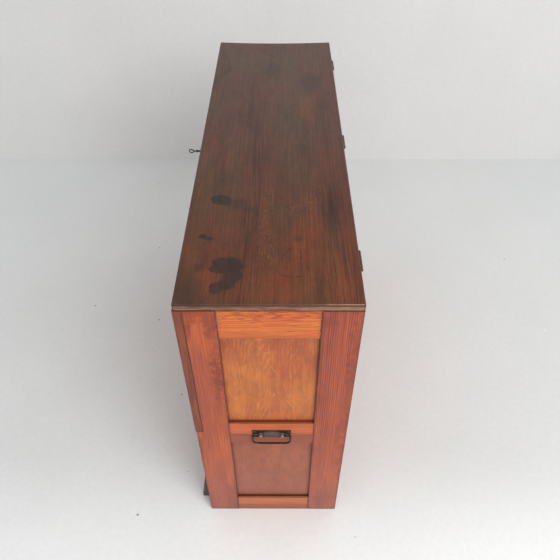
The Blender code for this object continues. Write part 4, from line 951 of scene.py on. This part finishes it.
class CHEST_OT_make_lid(bpy.types.Operator):
    """Makes the dark lid, slightly hollow towards its far end and marked with old spills"""
    bl_idname = "plan_chest.make_lid"
    bl_label = "Make the lid"

    HOLLOW = 4 * MM
    GRID = 31 * MM
    GLOSS = 0.32

    def lid_mesh(self):
        """The model's lid cut into a grid, with its top let down in the middle of the far end."""
        low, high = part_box("lid_board")
        shape = whole_copy("lid_board")
        for axis, normal in enumerate((X, Y)):
            cuts = round((high[axis] - low[axis]) / self.GRID)
            for index in range(1, cuts):
                at = low[axis] + (high[axis] - low[axis]) * index / cuts
                bmesh.ops.bisect_plane(shape, geom=shape.verts[:] + shape.edges[:] + shape.faces[:],
                                       dist=1e-7, plane_co=normal * at, plane_no=normal)
        for vertex in shape.verts:
            along = min(1.0, max(0.0, -vertex.co.x / high.x))
            across = 1 - (vertex.co.y / high.y) ** 2
            height = (vertex.co.z - low.z) / (high.z - low.z)
            vertex.co.z -= self.HOLLOW * along ** 1.5 * max(0.0, across) * height
        bmesh.ops.recalc_face_normals(shape, faces=shape.faces)
        mesh = mesh_of(shape, "lid_board")
        smooth_by_angle(mesh, 12)
        return mesh

    def faded_stain_and_haze(self, nodes, noise, warped, fade_and_haze, colour):
        """The stain fades towards the near end, warmest where sheets have rubbed it; its warmer near end is
        partly painted light falling off along the lid, and the grey-blue far end is a painted reflection of the
        pale wall.
        """
        colour = nodes.multiplied(colour, nodes.mix(fade_and_haze, (0.78, 0.98, 1.26), (0.95, 0.93, 0.83)))
        warm = nodes.times(spots_mask(nodes, warped, WARM_SPOTS, 0.7), 0.8)
        colour = nodes.tinted(warm, colour, (1.5, 1.16, 0.85))
        cooled = nodes.times(nodes.step(noise.mottle, 0.42, 0.62), 0.7)
        return nodes.tinted(cooled, colour, (0.74, 0.84, 0.9))

    def dark_grain(self, nodes, noise, world, warped, colour):
        """Dark grain lines that come and go in bunches, and a fine grit."""
        across = nodes.plus(world[1], nodes.swing(noise.slow, 12 * MM))
        thread = nodes.noise(nodes.join(world[0], across, 0.0), (5, 460, 1), 3, 0.6)
        bunch = spots_mask(nodes, warped, GRAIN_SPOTS, 0.8)
        dark = nodes.times(nodes.step(thread, 0.46, 0.6), nodes.grade(bunch, 0.26, 0.85))
        colour = nodes.mix(dark, colour, stains().lid_line)
        return nodes.toned(colour, nodes.grade(noise.grit, 0.72, 1.28))

    def old_marks(self, nodes, noise, warped, colour):
        """Faint spots, a scuffed bloom, and a damp mark with a dark outline."""
        faint = nodes.times(spots_mask(nodes, warped, FAINT_SPOTS, 0.6), 0.45)
        colour = nodes.mix(faint, colour, stains().spill)
        bloom = nodes.times(spots_mask(nodes, warped, BLOOM_SPOTS, 0.9),
                            nodes.step(noise.scuff, 0.5, 0.66), 0.75)
        colour = nodes.mix(bloom, colour, stains().lid_fade)
        damp = spots_rim(nodes, warped, DAMP_SPOTS)
        inside = nodes.times(nodes.step(damp, 1.1, 0.7), nodes.grade(noise.scuff, 0.2, 0.6))
        colour = nodes.tinted(inside, colour, (0.86, 1.04, 0.8))
        outline = nodes.times(nodes.band(damp, (0.86, 1.0), (1.16, 1.02)),
                              nodes.grade(nodes.step(noise.mottle, 0.4, 0.56), 0.1, 0.5))
        return nodes.mix(outline, colour, stains().lid_line)

    def worn_end(self, nodes, noise, world, colour):
        """The end shows a bare core, dark layers under and over it, and a worn upper arris whose pale colour is
        also a painted highlight.
        """
        facing_end = nodes.math("ABSOLUTE", nodes.parts(nodes.coordinates("Normal"))[0])
        on_end = nodes.step(facing_end, 0.7, 0.85)
        layer = nodes.plus(world[2], nodes.swing(noise.ragged, 0.5 * MM))
        core = nodes.times(nodes.band(layer, CORE_FOOT, CORE_TOP), on_end)
        soiled = nodes.minus(nodes.grade(nodes.step(noise.streak, 0.34, 0.62), 0.05, 0.9),
                             nodes.times(nodes.step(world[1], -0.05, 0.17), 0.3))
        colour = nodes.mix(core, colour, nodes.mix(soiled, stains().lid_core, stains().lid_soiled))
        under = nodes.times(nodes.step(layer, *UNDERSIDE), on_end, 0.75)
        colour = nodes.mix(under, colour, stains().grime)
        # The upper arris towards the back is pale as worn bare wood and as a painted highlight.
        back_half = nodes.grade(nodes.step(world[1], 0.08, 0.13), 0.04, 0.42)
        arris = nodes.times(nodes.step(world[2], *ARRIS), nodes.step(facing_end, 0.12, 0.35), back_half,
                            nodes.step(noise.streak, 0.25, 0.55))
        return nodes.mix(arris, colour, stains().wear)

    def lid_material(self):
        material, nodes, shader = new_material("lid wood")
        place, figure = board_nodes(nodes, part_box("lid_board"), X, Z, "lid", "rift", 6.5, 20, 70.0)
        noise = nodes.noises(place, LID_NOISE)
        world = nodes.parts(place)
        warped = nodes.vector("ADD", place, nodes.shift(place, 50, 4, (0.016, 0.016, 0)))
        # Rises to 1 at the near end: fading, with painted light there and a painted reflection of the wall
        # towards the far end.
        fade_and_haze = nodes.step(world[0], -0.1, 0.55)
        colour = self.faded_stain_and_haze(nodes, noise, warped, fade_and_haze, figure["Colour"])
        colour = self.dark_grain(nodes, noise, world, warped, colour)
        colour = self.old_marks(nodes, noise, warped, colour)
        thin = nodes.times(nodes.step(noise.mottle, 0.38, 0.64), 0.36)
        rim = spots_rim(nodes, warped, INK_SPOTS)
        ink = nodes.times(nodes.step(rim, 1.26, 0.9), nodes.minus(0.96, thin))
        colour = self.worn_end(nodes, noise, world, nodes.mix(ink, colour, stains().spill))
        rough = nodes.minus(nodes.plus(figure["Roughness"], nodes.grade(fade_and_haze, -0.16, 0.0)),
                            nodes.times(ink, 0.04))
        finish_surface(nodes, shader, colour, rough, figure["Height"], 0.2 * MM)
        shader.inputs["Specular IOR Level"].default_value = self.GLOSS
        return material

    def execute(self, context):
        new_piece("lid_board_hollowed", self.lid_mesh(), "lid", self.lid_material(), "lid_stain", "lid_board")
        return {"FINISHED"}


class CHEST_OT_make_handles(bpy.types.Operator):
    """Makes the carrying handles: cast plates with lugs, and round drop bails"""
    bl_idname = "plan_chest.make_handles"
    bl_label = "Make the handles"

    WIRE_RADIUS = 2.35 * MM
    TIP = 24 * MM
    UPPER_BEND = 4 * MM
    LOWER_BEND = 13 * MM
    EAR_LOW = 22.5 * MM
    EAR_SIDE = 2.2 * MM
    EAR_WIDTH = 11 * MM
    EAR_SLANT = 4 * MM
    EAR_EDGE = 3 * MM
    EAR_CORNER = 3.5 * MM

    def square_ears(self, shape, low, high):
        """Draws the plate's ears down square at their outer sides and rounds their corners."""
        foot = high.z - self.EAR_LOW
        for vertex in shape.verts:
            if abs(vertex.co.y) > high.y - self.EAR_WIDTH and vertex.co.z < foot + self.EAR_SLANT:
                vertex.co.y = math.copysign(high.y - self.EAR_SIDE, vertex.co.y)
                vertex.co.z = foot
        corners = [edge for edge in shape.edges
                   if all(abs(vertex.co.y) > high.y - self.EAR_EDGE for vertex in edge.verts)
                   and abs(edge.verts[0].co.x - edge.verts[1].co.x) > MM
                   and not foot + MM < edge.verts[0].co.z < high.z - MM]
        bmesh.ops.bevel(shape, geom=corners, offset=self.EAR_CORNER, segments=5, profile=0.5, affect="EDGES")

    def bail_mesh(self, node):
        low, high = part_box(node)
        wire = self.WIRE_RADIUS
        middle = (low.x + high.x) / 2
        arm, top, bottom = (high.y - wire, high.z - wire, low.z + wire)
        corners = [Vector((middle, y, z)) for y, z in (
            (self.TIP, top), (arm, top), (arm, bottom), (-arm, bottom), (-arm, top), (-self.TIP, top))]
        path = filleted(corners, (self.UPPER_BEND, self.LOWER_BEND, self.LOWER_BEND, self.UPPER_BEND))
        mesh = mesh_of(bent_wire(path, X, wire), node)
        smooth_by_angle(mesh, 60)
        return mesh

    def execute(self, context):
        for side in ("right", "left"):
            refine({f"{side}_handle_plate": "carcass"}, "handle iron", "iron", hardware().edge_round,
                   self.square_ears)
            bail = f"{side}_bail"
            new_piece(f"{bail}_wire", self.bail_mesh(bail), bail, metal("handle iron"), "iron", bail)
        return {"FINISHED"}


class CHEST_OT_make_key(bpy.types.Operator):
    """Makes the key with its oval bow, and the plate round the keyhole"""
    bl_idname = "plan_chest.make_key"
    bl_label = "Make the key"

    EDGE = 0.2 * MM

    def execute(self, context):
        refine({"key": "key", "keyhole_escutcheon": "flap"}, "dark iron", "iron", self.EDGE)
        return {"FINISHED"}


class CHEST_OT_make_hinges(bpy.types.Operator):
    """Makes the leaves of the lid's and the flap's hinges"""
    bl_idname = "plan_chest.make_hinges"
    bl_label = "Make the hinges"

    EDGE = 0.25 * MM

    def execute(self, context):
        for body in ("lid", "flap"):
            for place in ("left", "middle", "right"):
                hinge = f"{body}_hinge_{place}"
                leaves = {f"{hinge}_fixed_leaf": "carcass", f"{hinge}_moving_leaf": body}
                refine(leaves, "dull steel", "steel", self.EDGE)
        return {"FINISHED"}


class CHEST_OT_make_lock(bpy.types.Operator):
    """Makes the lock's case, its hook bolt and the strike plate in the lid"""
    bl_idname = "plan_chest.make_lock"
    bl_label = "Make the lock"

    EDGE = 0.2 * MM

    def execute(self, context):
        lock = {"lock_case": "flap", "lock_hook_bolt": "hook_bolt", "strike_plate": "lid"}
        refine(lock, "dull steel", "steel", self.EDGE)
        return {"FINISHED"}


class CHEST_OT_make_rods(bpy.types.Operator):
    """Makes the rods that large sheets hang from"""
    bl_idname = "plan_chest.make_rods"
    bl_label = "Make the hanging rods"

    EDGE = 0.3 * MM

    def execute(self, context):
        rods = {"left_hanging_rod": "carcass", "right_hanging_rod": "carcass"}
        refine(rods, "dull steel", "steel", self.EDGE)
        return {"FINISHED"}


class CHEST_OT_fit_screws(bpy.types.Operator):
    """Fits slotted countersunk screws in the ironwork with Geometry Nodes"""
    bl_idname = "plan_chest.fit_screws"
    bl_label = "Fit the screws"

    SIDES = 24
    LENGTH = 9 * MM
    HEAD_DEPTH = 1.3 * MM
    SHANK_RADIUS = 1.55 * MM
    SLOT_DEPTH = 0.7 * MM
    SEED = 5
    LEAF_GAP = 0.3 * MM
    LEAF_FROM_KNUCKLE = 15.3 * MM
    LEAF_APART = 20 * MM
    STRIKE_ASIDE = 27 * MM
    LOCK_ASIDE = 34.5 * MM
    LOCK_DOWN = (8 * MM, 34 * MM)
    ROD_PLATE = 3 * MM
    ROD_APART = 19 * MM
    # Each screw of a handle's plate: across, above the plate's foot and out from the chest's end
    HANDLE = ((-43 * MM, 23.3 * MM, 2 * MM), (43 * MM, 23.3 * MM, 2 * MM), (0, 16.3 * MM, 3.2 * MM))

    def leaf_screws(self, hinge, facing):
        """Screws of a hinge's three leaves, whose heads face up or down into the gap between the leaves."""
        screws = []
        for place in ("left", "middle", "right"):
            low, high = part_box(f"{hinge}_{place}_fixed_leaf")
            middle = (low + high) / 2
            y = high.y - self.LEAF_FROM_KNUCKLE if middle.y > 0 else low.y + self.LEAF_FROM_KNUCKLE
            z = middle.z - facing.z * self.LEAF_GAP / 2
            screws += [(Vector((middle.x + side * self.LEAF_APART, y, z)), facing) for side in (-1, 0, 1)]
        return screws

    def end_screws(self, side, end):
        """Screws of one end's handle and hanging rod."""
        low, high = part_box(f"{end}_handle_plate")
        seat = min(abs(low.x), abs(high.x))
        handle = [(Vector((side * (seat + out), y, low.z + height)), X * side)
                  for y, height, out in self.HANDLE]
        low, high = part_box(f"{end}_hanging_rod")
        middle = (low + high) / 2
        return handle + [(Vector((middle.x, high.y - self.ROD_PLATE, middle.z + up)), -Y)
                         for up in (-self.ROD_APART, self.ROD_APART)]

    def screws_of(self, body):
        """Where each screw of a body sits, and the way that its head faces."""
        if body == "lid":
            low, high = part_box("strike_plate")
            return self.leaf_screws("lid_hinge", -Z) + [
                (Vector((x, (low.y + high.y) / 2, low.z)), -Z) for x in (-self.STRIKE_ASIDE, self.STRIKE_ASIDE)]
        if body == "flap":
            low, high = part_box("lock_case")
            return self.leaf_screws("flap_hinge", -Z) + [
                (Vector((x, high.y, high.z - down)), Y)
                for x in (-self.LOCK_ASIDE, self.LOCK_ASIDE) for down in self.LOCK_DOWN]
        return (self.leaf_screws("lid_hinge", Z) + self.leaf_screws("flap_hinge", Z)
                + self.end_screws(-1, "left") + self.end_screws(1, "right"))

    def screw_tree(self):
        """Instances one screw at each point, turned to face its direction and then by chance."""
        nodes, given, result = new_group(
            "Countersunk screws",
            dict(Geometry="Geometry", Int="Seed", Material="Material",
                 Float="Head Radius, Head Depth, Shank Radius, Length, Slot Width, Slot Depth"),
            dict(Geometry="Geometry"), "GeometryNodeTree")

        def lifted(kind, sizes, height, fill):
            mesh = nodes.add(kind, {"Vertices": self.SIDES, **sizes}, fill_type=fill).outputs["Mesh"]
            return nodes.add("GeometryNodeTransform", {"Geometry": mesh,
                                                       "Translation": nodes.join(0.0, 0.0, height)}).outputs[0]

        def cone(top, bottom, depth, foot):
            """An open band between two radii that stands on the given height."""
            return lifted("GeometryNodeMeshCone", {"Radius Top": top, "Radius Bottom": bottom, "Depth": depth},
                          foot, "NONE")

        def disc(radius, height):
            return lifted("GeometryNodeMeshCircle", {"Radius": radius}, height, "NGON")

        head, shank = (given["Head Radius"], given["Shank Radius"])
        rim = nodes.times(head, 0.07)
        inner = nodes.minus(head, rim)
        below_rim = nodes.minus(0.0, rim)
        head_foot = nodes.minus(below_rim, given["Head Depth"])
        shank_foot = nodes.minus(0.0, given["Length"])
        joined = nodes.add("GeometryNodeJoinGeometry")
        for part in (
            disc(inner, 0.0),
            cone(inner, head, rim, below_rim),
            cone(head, shank, given["Head Depth"], head_foot),
            cone(shank, shank, nodes.minus(head_foot, shank_foot), shank_foot),
            nodes.add("GeometryNodeFlipFaces", {"Mesh": disc(shank, shank_foot)}).outputs[0],
        ):
            nodes.feed(joined.inputs, {0: part})
        solid = nodes.add("GeometryNodeMergeByDistance", {"Geometry": joined.outputs[0], "Distance": 0.01 * MM})
        slot_size = nodes.join(nodes.times(head, 3.0), given["Slot Width"],
                               nodes.times(given["Slot Depth"], 2.0))
        slot = nodes.add("GeometryNodeMeshCube", {"Size": slot_size}).outputs["Mesh"]
        cut = nodes.add("GeometryNodeMeshBoolean", {0: solid.outputs[0], 1: slot}, operation="DIFFERENCE",
                        solver="EXACT")
        facing = nodes.add("GeometryNodeInputNamedAttribute", {"Name": "facing"}, data_type="FLOAT_VECTOR")
        turn = nodes.add("FunctionNodeAlignRotationToVector", {"Vector": facing.outputs[0]}, axis="Z")
        chance = nodes.add("FunctionNodeRandomValue", {2: 0.0, 3: math.pi, "Seed": given["Seed"]},
                           data_type="FLOAT")
        spin = nodes.add("FunctionNodeAxisAngleToRotation", {"Axis": Z, "Angle": chance.outputs[1]})
        both = nodes.add("FunctionNodeRotateRotation", {0: turn.outputs[0], 1: spin.outputs[0]},
                         rotation_space="LOCAL")
        points = nodes.add("GeometryNodeMeshToPoints", {"Mesh": given["Geometry"], "Radius": 1 * MM})
        placed = nodes.add("GeometryNodeInstanceOnPoints",
                           {"Points": points.outputs[0], "Instance": cut.outputs[0], "Rotation": both.outputs[0]})
        real = nodes.add("GeometryNodeRealizeInstances", {0: placed.outputs[0]})
        dressed = nodes.add("GeometryNodeSetMaterial",
                            {"Geometry": real.outputs[0], "Material": given["Material"]})
        nodes.feed(result, {0: dressed.outputs[0]})
        return nodes.tree

    def screws_mesh(self, body, tree):
        places, facings = zip(*self.screws_of(body))
        mesh = bpy.data.meshes.new(f"{body}_screws")
        mesh.from_pydata(places, [], [])
        facing = mesh.attributes.new("facing", "FLOAT_VECTOR", "POINT")
        facing.data.foreach_set("vector", [part for way in facings for part in way])
        obj = put_in_scene(f"{body}_screws", mesh)
        modifier = obj.modifiers.new("screws", "NODES")
        modifier.node_group = tree
        values = {"Head Radius": hardware().screw_radius, "Head Depth": self.HEAD_DEPTH,
                  "Shank Radius": self.SHANK_RADIUS, "Length": self.LENGTH, "Slot Width": hardware().screw_slot,
                  "Slot Depth": self.SLOT_DEPTH, "Seed": self.SEED, "Material": metal("dull steel")}
        for item in tree.interface.items_tree:
            if item.in_out == "INPUT" and item.name in values:
                modifier[item.identifier] = values[item.name]
        mesh = applied(obj)
        smooth_by_angle(mesh, 30)
        return mesh

    def execute(self, context):
        tree = self.screw_tree()
        for body in ("carcass", "lid", "flap"):
            new_piece(f"{body}_screws", self.screws_mesh(body, tree), body, metal("dull steel"), "steel")
        return {"FINISHED"}


class CHEST_OT_set_stage(bpy.types.Operator):
    """Lays the floor, stands the wall, and sets the lights and the camera"""
    bl_idname = "plan_chest.set_stage"
    bl_label = "Set the stage"

    WALL_X = -1.316
    REACH = 20.0
    WALL_HEIGHT = 4.0
    LAMP_PLACE = Vector((2.6, 1.6, 3.0))
    LAMP_AIM = Vector((0, 0, 0.3))
    LAMP_SIZE = 2.2
    SKY = (0.975, 0.99, 1.0, 1.0)
    LIT_FROM = (0.4, 0.8)
    NOISE = {"cloud": ((2.2, 2.2, 2.2), 5, 0.6), "fine": ((60, 60, 60), 4, 0.6)}
    # Dark and light specks: which part of a speck's own colour chooses it, from where, and its colour
    SPECKS = ((0, (0.8, 0.84), shade(112, 100, 92)), (1, (0.86, 0.9), (1.0, 1.0, 1.0)))

    def plane(self, name, corners, material):
        mesh = bpy.data.meshes.new(name)
        mesh.from_pydata(corners, [], [tuple(range(len(corners)))])
        obj = put_in_scene(name, mesh)
        dress(obj, material)

    def plaster(self, name, colour, speck, front_light=1.0, one_sided=False):
        """Pale paint with soft clouds and a few specks, brighter in front as a painted pool of light, and clear
        from behind if asked.
        """
        material, nodes, shader = new_material(name)
        place = nodes.coordinates()
        noise = nodes.noises(place, self.NOISE)
        # Painted light: the floor is toned brighter towards the front.
        near = nodes.step(nodes.parts(place)[0], *self.LIT_FROM)
        colour = nodes.toned(colour, nodes.grade(noise.cloud, 0.94, 1.06), nodes.grade(noise.fine, 0.94, 1.06),
                             nodes.grade(near, 1.0, front_light))
        dots = nodes.add("ShaderNodeTexVoronoi", {"Vector": place, "Scale": 14.0, "Randomness": 1.0})
        dot = nodes.times(nodes.step(dots.outputs["Distance"], 0.055, 0.035), speck)
        chance = nodes.parts(dots.outputs["Color"])
        for part, edges, speck_colour in self.SPECKS:
            colour = nodes.mix(nodes.times(dot, nodes.step(chance[part], *edges)), colour, speck_colour)
        finish_surface(nodes, shader, colour, nodes.grade(noise.cloud, 0.5, 0.7), noise.fine, 0.4 * MM)
        if one_sided:
            behind = nodes.add("ShaderNodeNewGeometry").outputs["Backfacing"]
            clear = nodes.add("ShaderNodeBsdfTransparent").outputs[0]
            mixed = nodes.add("ShaderNodeMixShader", {0: behind, 1: shader.outputs[0], 2: clear}).outputs[0]
            nodes.feed(material.node_tree.nodes["Material Output"].inputs, {"Surface": mixed})
        return material

    def lamp(self, power):
        data = bpy.data.lights.new("large_lamp", "AREA")
        data.shape = "DISK"
        data.size = self.LAMP_SIZE
        data.energy = power
        lamp = put_in_scene("large_lamp", data)
        lamp.location = self.LAMP_PLACE
        lamp.rotation_euler = (self.LAMP_AIM - self.LAMP_PLACE).to_track_quat("-Z", "Y").to_euler()

    def sky(self, strength):
        world = bpy.data.worlds.new("studio")
        world.use_nodes = True
        background = world.node_tree.nodes["Background"]
        background.inputs["Color"].default_value = self.SKY
        background.inputs["Strength"].default_value = strength
        return world

    def camera(self, settings):
        data = bpy.data.cameras.new("camera")
        data.lens = settings.lens
        data.sensor_width = 36.0
        data.clip_end = 100.0
        turn = (Matrix.Rotation(math.pi / 2 + settings.camera_turn, 4, "Z")
                @ Matrix.Rotation(math.pi / 2 - settings.camera_down, 4, "X")
                @ Matrix.Rotation(settings.camera_roll, 4, "Z"))
        camera = put_in_scene("camera", data)
        camera.matrix_world = Matrix.Translation(settings.camera_place) @ turn
        return camera

    def execute(self, context):
        settings = studio()
        far, side, top = (self.WALL_X, self.REACH, self.WALL_HEIGHT)
        floor = self.plaster("pale floor", settings.floor, 0.85, 1.2)
        wall = self.plaster("pale wall", settings.wall, 0.0, one_sided=True)
        self.plane("studio_floor", [(-side, -side, 0), (side, -side, 0), (side, side, 0), (-side, side, 0)],
                   floor)
        self.plane("studio_wall", [(far, -side, 0), (far, side, 0), (far, side, top), (far, -side, top)], wall)
        self.lamp(settings.light_power)
        context.scene.world = self.sky(settings.fill)
        context.scene.view_settings.view_transform = "Standard"
        bpy.context.scene.camera = self.camera(settings)
        return {"FINISHED"}


OPERATORS = (
    CHEST_OT_stain_ends,
    CHEST_OT_stain_back,
    CHEST_OT_stain_flap,
    CHEST_OT_stain_feet,
    CHEST_OT_make_lid,
    CHEST_OT_make_handles,
    CHEST_OT_make_key,
    CHEST_OT_make_hinges,
    CHEST_OT_make_lock,
    CHEST_OT_make_rods,
    CHEST_OT_fit_screws,
    CHEST_OT_set_stage,
)


class CHEST_PT_panel(bpy.types.Panel):
    """Lists the steps and settings of the plan chest"""
    bl_idname = "CHEST_PT_panel"
    bl_label = "Plan chest"
    bl_space_type = "VIEW_3D"
    bl_region_type = "UI"
    bl_category = "Plan chest"

    def draw(self, context):
        for settings in (stains(), hardware(), studio()):
            box = self.layout.box()
            for name in settings.bl_rna.properties.keys():
                if name not in ("rna_type", "name"):
                    box.prop(settings, name)
        for operator in OPERATORS:
            self.layout.operator(operator.bl_idname)


CLASSES = (ChestStains, ChestHardware, ChestStudio, *OPERATORS, CHEST_PT_panel)


def register():
    for entry in CLASSES:
        bpy.utils.register_class(entry)
    bpy.types.Scene.chest_stains = PointerProperty(type=ChestStains)
    bpy.types.Scene.chest_hardware = PointerProperty(type=ChestHardware)
    bpy.types.Scene.chest_studio = PointerProperty(type=ChestStudio)


def unregister():
    for name in ("chest_stains", "chest_hardware", "chest_studio"):
        delattr(bpy.types.Scene, name)
    for entry in reversed(CLASSES):
        bpy.utils.unregister_class(entry)


def main():
    register()
    for operator in OPERATORS:
        group, name = operator.bl_idname.split(".")
        getattr(getattr(bpy.ops, group), name)()


if __name__ == "__main__":
    main()
